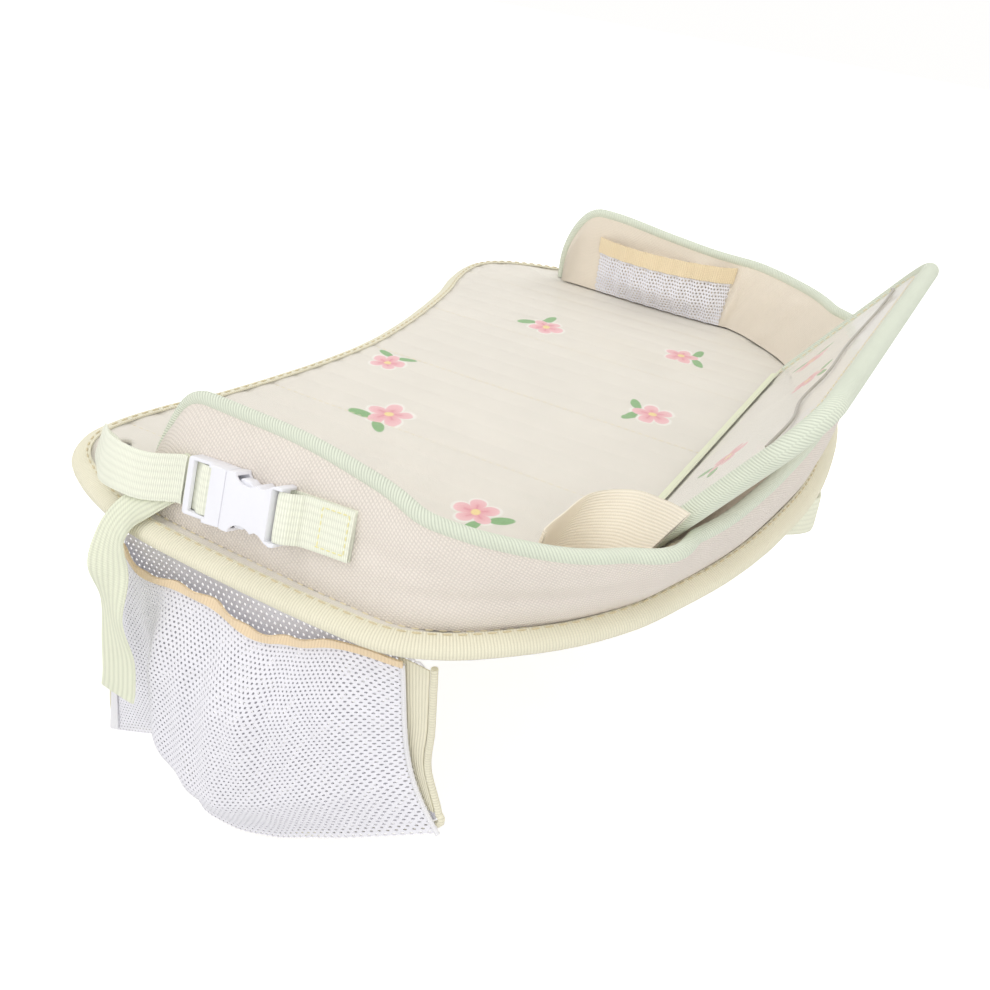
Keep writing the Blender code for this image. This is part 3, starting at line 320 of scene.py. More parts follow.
class Body:
    """A mesh under way, with its vertices, its faces and a flat place in metres for each face corner."""

    def __init__(self) -> None:
        """Start with nothing."""
        self.vertices: list[tuple[float, ...]] = []
        self.faces: list[tuple[int, ...]] = []
        self.corners: list[tuple[float, float]] = []

    def add_points(self, points: np.ndarray) -> np.ndarray:
        """Add a grid of points and return the grid of their numbers."""
        start = len(self.vertices)
        flat = points.reshape(-1, 3)
        self.vertices.extend(map(tuple, flat.tolist()))
        return np.arange(start, start + len(flat)).reshape(points.shape[:-1])

    def add_quads(self, numbers: np.ndarray, flat: np.ndarray, round_rows: bool = False,
                  round_columns: bool = False) -> None:
        """Skin a grid of points.

        Args:
            numbers: The points' numbers, row by row.
            flat: The flat place of each point, with one row or column more where the grid is closed.
            round_rows: Whether the last row joins the first.
            round_columns: Whether the last column joins the first.
        """
        rows, columns = numbers.shape
        for i in range(rows if round_rows else rows - 1):
            for j in range(columns if round_columns else columns - 1):
                ring = ((i, j), (i + 1, j), (i + 1, j + 1), (i, j + 1))
                self.faces.append(tuple(int(numbers[p % rows, q % columns]) for p, q in ring))
                self.corners.extend((float(flat[p, q, 0]), float(flat[p, q, 1])) for p, q in ring)

    def add_face(self, numbers: Sequence[int], flat: Sequence[Sequence[float]]) -> None:
        """Add one face with its corners' flat places."""
        self.faces.append(tuple(int(number) for number in numbers))
        self.corners.extend((float(place[0]), float(place[1])) for place in flat)

    def make(self, name: str, material: bpy.types.Material, sharp: float = 50.0) -> bpy.types.Object:
        """Turn the body into an object whose faces point outwards.

        Args:
            name: The object's name.
            material: Its finish.
            sharp: The angle in degrees past which an edge stays sharp.

        Returns:
            The new object.
        """
        mesh = bpy.data.meshes.new(name)
        mesh.from_pydata(self.vertices, [], self.faces)
        layer = mesh.uv_layers.new(name="UVMap")
        layer.data.foreach_set("uv", np.array(self.corners, float).ravel())
        if enclosed(mesh) < 0:
            mesh.flip_normals()
        return new_object(name, mesh, material, sharp)


def enclosed(mesh: bpy.types.Mesh) -> float:
    """Return the signed volume inside a mesh, which is negative where its faces point inwards."""
    mesh.calc_loop_triangles()
    places = np.empty(len(mesh.vertices) * 3)
    mesh.vertices.foreach_get("co", places)
    corners = np.empty(len(mesh.loop_triangles) * 3, int)
    mesh.loop_triangles.foreach_get("vertices", corners)
    a, b, c = (places.reshape(-1, 3)[corners.reshape(-1, 3)[:, k]] for k in range(3))
    return float((a * np.cross(b, c)).sum() / 6)


def new_object(name: str, mesh: bpy.types.Mesh, material: Optional[bpy.types.Material],
               sharp: Optional[float] = 50.0) -> bpy.types.Object:
    """Link a mesh as an object of its own.

    Args:
        name: The object's name.
        mesh: Its mesh.
        material: Its finish, or None to keep the mesh's own.
        sharp: The angle in degrees past which an edge stays sharp, or None for flat faces.

    Returns:
        The new object.
    """
    mesh.name = name
    if material is not None:
        mesh.materials.clear()
        mesh.materials.append(material)
    if sharp is not None:
        mesh.polygons.foreach_set("use_smooth", [True] * len(mesh.polygons))
        mesh.set_sharp_from_angle(angle=math.radians(sharp))
    piece = bpy.data.objects.new(name, mesh)
    bpy.context.scene.collection.objects.link(piece)
    return piece


def normals_of(points: np.ndarray) -> np.ndarray:
    """Return the unit normals of a grid of points, along its rows crossed with its columns."""
    found = np.cross(np.gradient(points, axis=0), np.gradient(points, axis=1))
    return found / np.maximum(np.linalg.norm(found, axis=2, keepdims=True), 1e-12)


def flat_places(points: np.ndarray, round_columns: bool = False, round_rows: bool = False) -> np.ndarray:
    """Lay a grid of points out flat.

    Args:
        points: The grid.
        round_columns: Whether the last column joins the first.
        round_rows: Whether the last row joins the first.

    Returns:
        The way along the rows and along the columns in metres, with a closing row or column.
    """
    if round_columns:
        points = np.concatenate([points, points[:, :1]], axis=1)
    if round_rows:
        points = np.concatenate([points, points[:1]], axis=0)
    rows, columns = points.shape[:2]
    along = np.linalg.norm(np.diff(points, axis=0), axis=2).mean(axis=1)
    across = np.linalg.norm(np.diff(points, axis=1), axis=2).mean(axis=0)
    flat = np.zeros((rows, columns, 2))
    flat[:, :, 0] = np.concatenate([[0], np.cumsum(along)])[:, None]
    flat[:, :, 1] = np.concatenate([[0], np.cumsum(across)])[None, :]
    return flat


def cloth(name: str, points: np.ndarray, thickness: float, material: bpy.types.Material,
          flat: Optional[np.ndarray] = None) -> bpy.types.Object:
    """Make a thin closed body on a grid of points.

    Args:
        name: The object's name.
        points: The grid of the cloth's face.
        thickness: How far the back lies from the face, against the grid's normals.
        material: Its finish.
        flat: The points' flat places, or None to measure them.

    Returns:
        The cloth.
    """
    body = Body()
    if flat is None:
        flat = flat_places(points)
    back = points - normals_of(points) * thickness
    face, rear = body.add_points(points), body.add_points(back)
    body.add_quads(face, flat)
    body.add_quads(rear[::-1], flat[::-1])
    rows, columns = face.shape
    edges = [((0, j), (0, j + 1)) for j in range(columns - 1)]
    edges += [((rows - 1, j + 1), (rows - 1, j)) for j in range(columns - 1)]
    edges += [((i + 1, 0), (i, 0)) for i in range(rows - 1)]
    edges += [((i, columns - 1), (i + 1, columns - 1)) for i in range(rows - 1)]
    for first, second in edges:
        numbers = (face[first], face[second], rear[second], rear[first])
        body.add_face(numbers, (flat[first], flat[second], flat[second], flat[first]))
    return body.make(name, material)


def skin(name: str, rings: np.ndarray, material: bpy.types.Material, closed: bool = False,
         sharp: float = 50.0) -> bpy.types.Object:
    """Make a body through rings of points, with its ends capped unless it is closed.

    Args:
        name: The object's name.
        rings: The rings in order, each closed on itself.
        material: Its finish.
        closed: Whether the last ring joins the first.
        sharp: The angle in degrees past which an edge stays sharp.

    Returns:
        The body.
    """
    body = Body()
    numbers = body.add_points(rings)
    flat = flat_places(rings, round_columns=True, round_rows=closed)
    body.add_quads(numbers, flat, round_rows=closed, round_columns=True)
    if not closed:
        body.add_face(numbers[0], flat[0, :-1])
        body.add_face(numbers[-1][::-1], flat[-1, :-1][::-1])
    return body.make(name, material, sharp)


def round_tube(name: str, path: np.ndarray, radius: float, material: bpy.types.Material,
               sides: int = 14) -> bpy.types.Object:
    """Make a round tube along a path.

    Args:
        name: The object's name.
        path: The points of its middle line.
        radius: Its radius.
        material: Its finish.
        sides: The points round it.

    Returns:
        The tube.
    """
    points = np.asarray(path, float)
    tangents = np.gradient(points, axis=0)
    tangents /= np.linalg.norm(tangents, axis=1)[:, None]
    side = np.cross(tangents[0], (0.0, 0.0, 1.0))
    if np.linalg.norm(side) < 0.1:
        side = np.array([1.0, 0.0, 0.0])
    rings = []
    for point, tangent in zip(points, tangents):
        side = side - tangent * np.dot(side, tangent)
        side /= np.linalg.norm(side)
        up = np.cross(side, tangent)
        ring = [point + radius * (math.cos(angle) * side + math.sin(angle) * up)
                for angle in np.linspace(0, 2 * math.pi, sides, endpoint=False)]
        rings.append(ring)
    return skin(name, np.array(rings), material, sharp=60.0)


def strap(name: str, route: np.ndarray, width: float, thickness: float, material: bpy.types.Material,
          columns: int = 14, selvedge: float = 0.45) -> bpy.types.Object:
    """Make a flat strap with thinner edges along a route.

    Args:
        name: The object's name.
        route: Rows of a centre point and a width direction.
        width: The strap's width.
        thickness: Its thickness in the middle.
        material: Its finish.
        columns: The faces across its width.
        selvedge: The share of the thickness that its edges keep.

    Returns:
        The strap.
    """
    centres = route[:, :3]
    tangents = np.gradient(centres, axis=0)
    across = np.linspace(-1, 1, columns + 1)
    depth = 0.5 * thickness * (selvedge + (1 - selvedge) * (1 - across ** 8))
    rings = []
    for centre, tangent, side in zip(centres, tangents, route[:, 3:]):
        side = side / np.linalg.norm(side)
        out = np.cross(tangent, side)
        out /= np.linalg.norm(out)
        upper = [centre + side * s * width / 2 + out * d for s, d in zip(across, depth)]
        lower = [centre + side * s * width / 2 - out * d for s, d in zip(across, depth)]
        rings.append(upper + lower[::-1])
    return skin(name, np.array(rings), material)


def spread(ring: np.ndarray, columns: int, rows: int, trim: float) -> np.ndarray:
    """Fill a flat outline with a grid of points.

    Args:
        ring: The outline's points, X and Y first.
        columns: The faces along X.
        rows: The faces along Y.
        trim: How far the grid stays from the outline's two outermost points.

    Returns:
        The grid, with X along its rows and Y along its columns, at a height of 0.
    """
    x, y = ring[:, 0], ring[:, 1]
    xs = np.linspace(x.min() + trim, x.max() - trim, columns + 1)
    ends = np.roll(np.arange(len(ring)), -1)
    grid = np.zeros((columns + 1, rows + 1, 3))
    for i, place in enumerate(xs):
        crossing = (x <= place) != (x[ends] <= place)
        share = (place - x[crossing]) / (x[ends][crossing] - x[crossing])
        heights = y[crossing] + share * (y[ends][crossing] - y[crossing])
        grid[i, :, 0] = place
        grid[i, :, 1] = np.linspace(heights.min(), heights.max(), rows + 1)
    return grid


def clear(piece: bpy.types.Object, *tools: bpy.types.Object) -> None:
    """Take the shapes of other objects out of a piece, and remove them."""
    for tool in tools:
        cut = piece.modifiers.new("cut", "BOOLEAN")
        cut.operation = "DIFFERENCE"
        cut.solver = "EXACT"
        cut.object = tool
    mesh = evaluated_mesh(piece)
    piece.modifiers.clear()
    piece.data = mesh
    for tool in tools:
        bpy.data.objects.remove(tool, do_unlink=True)


def evaluated_mesh(piece: bpy.types.Object) -> bpy.types.Mesh:
    """Return a plain mesh of an object with its modifiers applied."""
    bpy.context.view_layer.update()
    graph = bpy.context.evaluated_depsgraph_get()
    return bpy.data.meshes.new_from_object(piece.evaluated_get(graph), depsgraph=graph)


def settle(piece: bpy.types.Object, body: str, slot: str, *nodes: str) -> bpy.types.Object:
    """Put a piece on its body and report it.

    Args:
        piece: The finished piece.
        body: The CAD body that it moves with.
        slot: The material slot named for the piece; not used.
        nodes: The CAD nodes that it stands for.

    Returns:
        The piece.
    """
    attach(piece, body)
    if nodes:
        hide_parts(*nodes)
    LOG.info("%s on %s, %d faces", piece.name, body, len(piece.data.polygons))
    return piece


# Geometry Nodes

class Graph:
    """A node tree that is filled by code."""

    def __init__(self, tree: bpy.types.NodeTree) -> None:
        """Take the tree to fill."""
        self.tree = tree

    def add(self, kind: str, inputs: Optional[dict[Any, Any]] = None, **settings: Any) -> bpy.types.Node:
        """Add a node.

        Args:
            kind: The node's type.
            inputs: Its inputs by name or number, each a value or a socket to link.
            settings: The node's own choices.

        Returns:
            The node.
        """
        node = self.tree.nodes.new(kind)
        for name, value in settings.items():
            setattr(node, name, value)
        return self.fill(node, inputs or {})

    def fill(self, node: bpy.types.Node, values: dict[Any, Any]) -> bpy.types.Node:
        """Give a node's inputs their values, or the sockets to link, and return the node."""
        for name, value in values.items():
            if isinstance(value, bpy.types.NodeSocket):
                self.tree.links.new(value, node.inputs[name])
            else:
                node.inputs[name].default_value = value
        return node

    def math(self, operation: str, *values: Any, clamp: bool = False) -> bpy.types.NodeSocket:
        """Add one step of arithmetic and return its result."""
        settings = {"operation": operation, "use_clamp": clamp}
        return self.add("ShaderNodeMath", dict(enumerate(values)), **settings).outputs[0]

    def mix(self, share: Any, first: Any, second: Any) -> bpy.types.NodeSocket:
        """Mix two colours by a share and return the result."""
        node = self.add("ShaderNodeMix", {0: share, 6: first, 7: second}, data_type="RGBA")
        return node.outputs[2]


def new_material(name: str) -> tuple[bpy.types.Material, Graph, bpy.types.Node]:
    """Start a material and return it with its graph and its main shader."""
    material = bpy.data.materials.new(name)
    material.use_nodes = True
    return material, Graph(material.node_tree), material.node_tree.nodes["Principled BSDF"]


def new_group(name: str, kind: str, inputs: Sequence[tuple[str, str]],
              outputs: Sequence[tuple[str, str]]) -> tuple[Graph, bpy.types.Node, bpy.types.Node]:
    """Start a node group with named sockets.

    Args:
        name: The group's name.
        kind: The type of its tree.
        inputs: A name and a type for each input.
        outputs: A name and a type for each output.

    Returns:
        The graph, its input node and its output node.
    """
    tree = bpy.data.node_groups.new(name, kind)
    for label, socket in inputs:
        tree.interface.new_socket(name=label, in_out="INPUT", socket_type="NodeSocket" + socket)
    for label, socket in outputs:
        tree.interface.new_socket(name=label, in_out="OUTPUT", socket_type="NodeSocket" + socket)
    graph = Graph(tree)
    return graph, graph.add("NodeGroupInput"), graph.add("NodeGroupOutput")


class Repeat:
    """Geometry Nodes trees that make what repeats, run once and turned into plain meshes."""

    def __init__(self) -> None:
        """Build the trees."""
        self.stitches = self.stitch_tree()
        self.net = self.net_tree()

    @staticmethod
    def stitch_tree() -> bpy.types.NodeTree:
        """Build the tree that lays stitches along a line of edges."""
        graph, start, end = new_group("stitch line", "GeometryNodeTree", (
            ("Line", "Geometry"), ("Spacing", "Float"), ("Length", "Float"), ("Radius", "Float"),
            ("Thread", "Material")), (("Stitches", "Geometry"),))
        line = graph.add("GeometryNodeMeshToCurve", {"Mesh": start.outputs["Line"]})
        places = graph.add("GeometryNodeCurveToPoints", {
            "Curve": line.outputs[0], "Length": start.outputs["Spacing"]}, mode="LENGTH")
        bead = graph.add("GeometryNodeMeshUVSphere", {"Segments": 5, "Rings": 4, "Radius": 1.0})
        turn = graph.add("FunctionNodeAlignRotationToVector", {"Vector": places.outputs["Tangent"]}, axis="Z")
        half = graph.math("MULTIPLY", start.outputs["Length"], 0.5)
        size = graph.add("ShaderNodeCombineXYZ", {
            0: start.outputs["Radius"], 1: start.outputs["Radius"], 2: half})
        laid = graph.add("GeometryNodeInstanceOnPoints", {
            "Points": places.outputs["Points"], "Instance": bead.outputs["Mesh"],
            "Rotation": turn.outputs[0], "Scale": size.outputs[0]})
        real = graph.add("GeometryNodeRealizeInstances", {0: laid.outputs[0]})
        done = graph.add("GeometryNodeSetMaterial", {
            "Geometry": real.outputs[0], "Material": start.outputs["Thread"]})
        graph.tree.links.new(done.outputs[0], end.inputs[0])
        return graph.tree

    @staticmethod
    def net_tree() -> bpy.types.NodeTree:
        """Build the tree that opens every face of a sheet and gives what is left a thickness."""
        graph, start, end = new_group("open net", "GeometryNodeTree", (
            ("Sheet", "Geometry"), ("Opening", "Float"), ("Thickness", "Float"), ("Thread", "Material")),
            (("Net", "Geometry"),))
        inset = graph.add("GeometryNodeExtrudeMesh", {
            "Mesh": start.outputs["Sheet"], "Offset Scale": 0.0, "Individual": True}, mode="FACES")
        shrunk = graph.add("GeometryNodeScaleElements", {
            "Geometry": inset.outputs["Mesh"], "Selection": inset.outputs["Top"],
            "Scale": start.outputs["Opening"]}, domain="FACE")
        web = graph.add("GeometryNodeDeleteGeometry", {
            "Geometry": shrunk.outputs[0], "Selection": inset.outputs["Top"]}, domain="FACE",
            mode="ONLY_FACE")
        joined = graph.add("GeometryNodeMergeByDistance", {"Geometry": web.outputs[0], "Distance": 1e-6})
        raised = graph.add("GeometryNodeExtrudeMesh", {
            "Mesh": joined.outputs[0], "Offset Scale": start.outputs["Thickness"], "Individual": False},
            mode="FACES")
        below = graph.add("GeometryNodeFlipFaces", {0: joined.outputs[0]})
        both = graph.add("GeometryNodeJoinGeometry")
        graph.tree.links.new(raised.outputs["Mesh"], both.inputs[0])
        graph.tree.links.new(below.outputs[0], both.inputs[0])
        whole = graph.add("GeometryNodeMergeByDistance", {"Geometry": both.outputs[0], "Distance": 1e-6})
        real = graph.add("GeometryNodeRealizeInstances", {0: whole.outputs[0]})
        done = graph.add("GeometryNodeSetMaterial", {
            "Geometry": real.outputs[0], "Material": start.outputs["Thread"]})
        graph.tree.links.new(done.outputs[0], end.inputs[0])
        return graph.tree

    @staticmethod
    def run(tree: bpy.types.NodeTree, name: str, mesh: bpy.types.Mesh, **values: Any) -> bpy.types.Object:
        """Run a tree on a mesh and keep the result as a plain piece.

        Args:
            tree: The tree to run.
            name: The piece's name.
            mesh: The mesh that the tree starts from.
            values: The tree's inputs by name.

        Returns:
            The piece.
        """
        host = bpy.data.objects.new(name + "_host", mesh)
        bpy.context.scene.collection.objects.link(host)
        modifier = host.modifiers.new("nodes", "NODES")
        modifier.node_group = tree
        for item in tree.interface.items_tree:
            if item.item_type == "SOCKET" and item.in_out == "INPUT" and item.name in values:
                modifier[item.identifier] = values[item.name]
        result = evaluated_mesh(host)
        host.modifiers.clear()
        bpy.data.objects.remove(host, do_unlink=True)
        return new_object(name, result, None, sharp=60.0)

    def stitch(self, name: str, lines: Sequence[np.ndarray], material: bpy.types.Material,
               spacing: float = 0.0040, length: float = 0.0028, radius: float = 0.00028,
               closed: bool = False) -> bpy.types.Object:
        """Lay stitches along one or more lines of points.

        Args:
            name: The piece's name.
            lines: The lines.
            material: The thread's finish.
            spacing, length, radius: The stitches' sizes.
            closed: Whether each line is a loop.

        Returns:
            The stitches.
        """
        vertices: list[tuple[float, ...]] = []
        edges: list[tuple[int, int]] = []
        for line in lines:
            start, count = len(vertices), len(line)
            vertices.extend(map(tuple, np.asarray(line).tolist()))
            edges.extend((start + k, start + k + 1) for k in range(count - 1))
            if closed:
                edges.append((start + count - 1, start))
        mesh = bpy.data.meshes.new(name)
        mesh.from_pydata(vertices, edges, [])
        return self.run(self.stitches, name, mesh, Spacing=spacing, Length=length, Radius=radius,
                        Thread=material)

    def netting(self, name: str, surface: Callable[[float, float], np.ndarray], width: float, height: float,
                pitch: float, opening: float, thickness: float,
                material: bpy.types.Material) -> bpy.types.Object:
        """Make netting with six-sided holes on a surface.

        Args:
            name: The piece's name.
            surface: The point at a share of the width and of the height.
            width, height: The sheet's size when it lies flat.
            pitch: The distance between two holes.
            opening: The share of a cell that its hole takes, edge to edge.
            thickness: The thread's thickness.
            material: Its finish.

        Returns:
            The netting.
        """
        rows = int(height / (pitch * math.sqrt(3) / 2))
        columns = int(width / pitch)
        numbers: dict[tuple[int, int], int] = {}
        vertices: list[tuple[float, ...]] = []
        faces: list[list[int]] = []
        for row in range(rows):
            for column in range(columns):
                face = []
                for du, dv in ((0, -2), (1, -1), (1, 1), (0, 2), (-1, 1), (-1, -1)):
                    key = (2 * column + row % 2 + 1 + du, 3 * row + 2 + dv)
                    if key not in numbers:
                        numbers[key] = len(vertices)
                        share_u = min(max(key[0] / (2 * columns + 1), 0.0), 1.0)
                        share_v = min(key[1] / (3 * rows + 1), 1.0)
                        vertices.append(tuple(surface(share_u, share_v)))
                    face.append(numbers[key])
                faces.append(face)
        mesh = bpy.data.meshes.new(name)
        mesh.from_pydata(vertices, [], faces)
        piece = self.run(self.net, name, mesh, Opening=opening, Thickness=thickness, Thread=material)
        if enclosed(piece.data) < 0:
            piece.data.flip_normals()
        return piece


# Finishes

class Shades:
    """Shader node groups that several finishes share, built once."""

    def __init__(self) -> None:
        """Build the groups."""
        self.weave = self.weave_group()
        self.rib = self.rib_group()
        self.tone = self.tone_group()
        self.blossom = self.blossom_group()

    @staticmethod
    def weave_group() -> bpy.types.NodeTree:
        """Build the woven cloth: threads that pass over and under each other in turn, with painted shade that
        darkens the colour where they lie low.
        """
        graph, start, end = new_group("woven threads", "ShaderNodeTree", (
            ("Place", "Vector"), ("Pitch", "Float"), ("Shade", "Float"), ("Colour", "Color")),
            (("Colour", "Color"), ("Height", "Float")))
        place = graph.add("ShaderNodeSeparateXYZ", {0: start.outputs["Place"]})
        threads, cells = [], []
        for axis in (0, 1):
            count = graph.math("DIVIDE", place.outputs[axis], start.outputs["Pitch"])
            wave = graph.math("ABSOLUTE", graph.math("SINE", graph.math("MULTIPLY", count, math.pi)))
            threads.append(wave)
            cells.append(graph.math("FLOOR", count))
        odd = graph.math("PINGPONG", graph.math("ADD", *cells), 1.0)
        over = graph.math("MULTIPLY", threads[0], graph.math("POWER", threads[1], 0.4))
        under = graph.math("MULTIPLY", threads[1], graph.math("POWER", threads[0], 0.4))
        height = graph.math("MULTIPLY_ADD", graph.math("SUBTRACT", under, over), odd, over)
        # Painted shade: the colour is darkened in the low places between threads, by the Shade amount.
        shade = graph.math("MULTIPLY", graph.math("SUBTRACT", 1.0, height), start.outputs["Shade"])
        scaled = graph.add("ShaderNodeVectorMath", {
            0: start.outputs["Colour"], "Scale": graph.math("SUBTRACT", 1.0, shade)}, operation="SCALE")
        graph.fill(end, {"Colour": scaled.outputs[0], "Height": height})
        return graph.tree

    @staticmethod
    def rib_group() -> bpy.types.NodeTree:
        """Build ribs, straight or leaning, with finer lines that cross them, and painted shade that darkens
        the colour in the low places.
        """
        graph, start, end = new_group("ribs", "ShaderNodeTree", (
            ("Place", "Vector"), ("Pitch", "Float"), ("Lean", "Float"), ("Cross Pitch", "Float"),
            ("Cross Share", "Float"), ("Shade", "Float"), ("Colour", "Color")),
            (("Colour", "Color"), ("Height", "Float")))
        place = graph.add("ShaderNodeSeparateXYZ", {0: start.outputs["Place"]})
        leant = graph.math("MULTIPLY_ADD", place.outputs[1], start.outputs["Lean"], place.outputs[0])
        waves = []
        for value, pitch in ((leant, "Pitch"), (place.outputs[1], "Cross Pitch")):
            count = graph.math("DIVIDE", value, start.outputs[pitch])
            waves.append(graph.math("ABSOLUTE", graph.math("SINE", graph.math("MULTIPLY", count, math.pi))))
        main = graph.math("POWER", waves[0], 0.8)
        height = graph.math("MULTIPLY_ADD", graph.math("SUBTRACT", waves[1], main),
                            start.outputs["Cross Share"], main)
        # Painted shade: the colour is darkened in the low places between ribs, by the Shade amount.
        shade = graph.math("MULTIPLY", graph.math("SUBTRACT", 1.0, height), start.outputs["Shade"])
        scaled = graph.add("ShaderNodeVectorMath", {
            0: start.outputs["Colour"], "Scale": graph.math("SUBTRACT", 1.0, shade)}, operation="SCALE")
        graph.fill(end, {"Colour": scaled.outputs[0], "Height": height})
        return graph.tree

    @staticmethod
    def tone_group() -> bpy.types.NodeTree:
        """Build the soft change of tone that used cloth has, and its small lumps."""
        graph, start, end = new_group("soft tone", "ShaderNodeTree", (
            ("Place", "Vector"), ("Size", "Float"), ("Amount", "Float"), ("Colour", "Color")),
            (("Colour", "Color"), ("Height", "Float")))
        lumps = graph.add("ShaderNodeTexNoise", {
            "Vector": start.outputs["Place"], "Scale": graph.math("DIVIDE", 1.0, start.outputs["Size"]),
            "Detail": 3.0, "Roughness": 0.5})
        swing = graph.math("SUBTRACT", lumps.outputs[0], 0.5)
        factor = graph.math("MULTIPLY_ADD", swing, start.outputs["Amount"], 1.0)
        scaled = graph.add("ShaderNodeVectorMath", {
            0: start.outputs["Colour"], "Scale": factor}, operation="SCALE")
        graph.fill(end, {"Colour": scaled.outputs[0], "Height": lumps.outputs[0]})
        return graph.tree

    @staticmethod
    def blossom_group() -> bpy.types.NodeTree:
        """Build one printed blossom: five petals with a pale rim, a yellow heart and two leaves."""
        graph, start, end = new_group("printed blossom", "ShaderNodeTree", (
            ("Place", "Vector"), ("Middle", "Vector"), ("Turn", "Float"), ("Size", "Float"),
            ("Colour", "Color")), (("Colour", "Color"),))
        moved = graph.add("ShaderNodeVectorMath", {
            0: start.outputs["Place"], 1: start.outputs["Middle"]}, operation="SUBTRACT")
        turned = graph.add("ShaderNodeVectorRotate", {
            "Vector": moved.outputs[0], "Angle": start.outputs["Turn"]}, rotation_type="Z_AXIS")
        size = graph.math("DIVIDE", 1.0, start.outputs["Size"])
        sized = graph.add("ShaderNodeVectorMath", {0: turned.outputs[0], "Scale": size}, operation="SCALE")
        place = graph.add("ShaderNodeSeparateXYZ", {0: sized.outputs[0]})
        x, y = place.outputs[0], place.outputs[1]
        squares = [graph.math("MULTIPLY", value, value) for value in (x, y)]
        radius = graph.math("SQRT", graph.math("ADD", *squares))
        angle = graph.math("ARCTAN2", y, x)
        lobes = graph.math("ABSOLUTE", graph.math("COSINE", graph.math("MULTIPLY", angle, 2.5)))
        petal = graph.math("MULTIPLY_ADD", graph.math("POWER", lobes, 0.6), 0.34, 0.30)

        def inside(distance: Any, limit: Any) -> bpy.types.NodeSocket:
            """Return 1 where a distance is within a limit, with a soft edge."""
            return graph.math("MULTIPLY_ADD", graph.math("SUBTRACT", limit, distance), 26.0, 0.5, clamp=True)

        colour = start.outputs["Colour"]
        leaves = []
        for side in (-1.0, 1.0):
            shift = graph.math("ADD", x, -0.62)
            slope = graph.math("MULTIPLY_ADD", y, side, -0.44)
            bent = graph.math("MULTIPLY_ADD", slope, -0.35, shift)
            across = graph.math("MULTIPLY", bent, 1.0 / 0.17)
            along = graph.math("MULTIPLY", slope, 1.0 / 0.34)
            round_it = graph.math("ADD", graph.math("MULTIPLY", across, across),
                                  graph.math("MULTIPLY", along, along))
            leaves.append(graph.math("SQRT", round_it))
        nearest = graph.math("MINIMUM", *leaves)
        white, green = srgb(250, 247, 240), srgb(139, 186, 128)
        rim = inside(radius, graph.math("ADD", petal, 0.09))
        colour = graph.mix(graph.math("MULTIPLY", rim, 0.85), colour, white)
        leaf = graph.math("SUBTRACT", 1.0, nearest)
        colour = graph.mix(graph.math("MULTIPLY_ADD", leaf, 6.0, 0.5, clamp=True), colour, green)
        blush = graph.math("DIVIDE", radius, petal, clamp=True)
        pink = graph.mix(blush, srgb(238, 160, 172), srgb(249, 205, 208))
        colour = graph.mix(inside(radius, petal), colour, pink)
        vein = graph.math("SUBTRACT", 1.0, graph.math("MULTIPLY", graph.math("SUBTRACT", lobes, 0.9), 10.0,
                                                      clamp=True))
        line = graph.math("MULTIPLY", graph.math("SUBTRACT", 1.0, vein), inside(radius, 0.36))
        colour = graph.mix(graph.math("MULTIPLY", line, 0.5), colour, srgb(226, 130, 150))
        colour = graph.mix(inside(radius, 0.13), colour, srgb(250, 226, 160))
        graph.tree.links.new(colour, end.inputs["Colour"])
        return graph.tree


SHADES = Shades()


class Pattern(Enum):
    """The surface that a finish has."""

    WOVEN = "woven"
    RIBBED = "ribbed"
    SMOOTH = "smooth"


@dataclass(frozen=True)
class Print:
    """A blossom on a printed surface."""

    middle: tuple[float, float]
    turn: float
    size: float


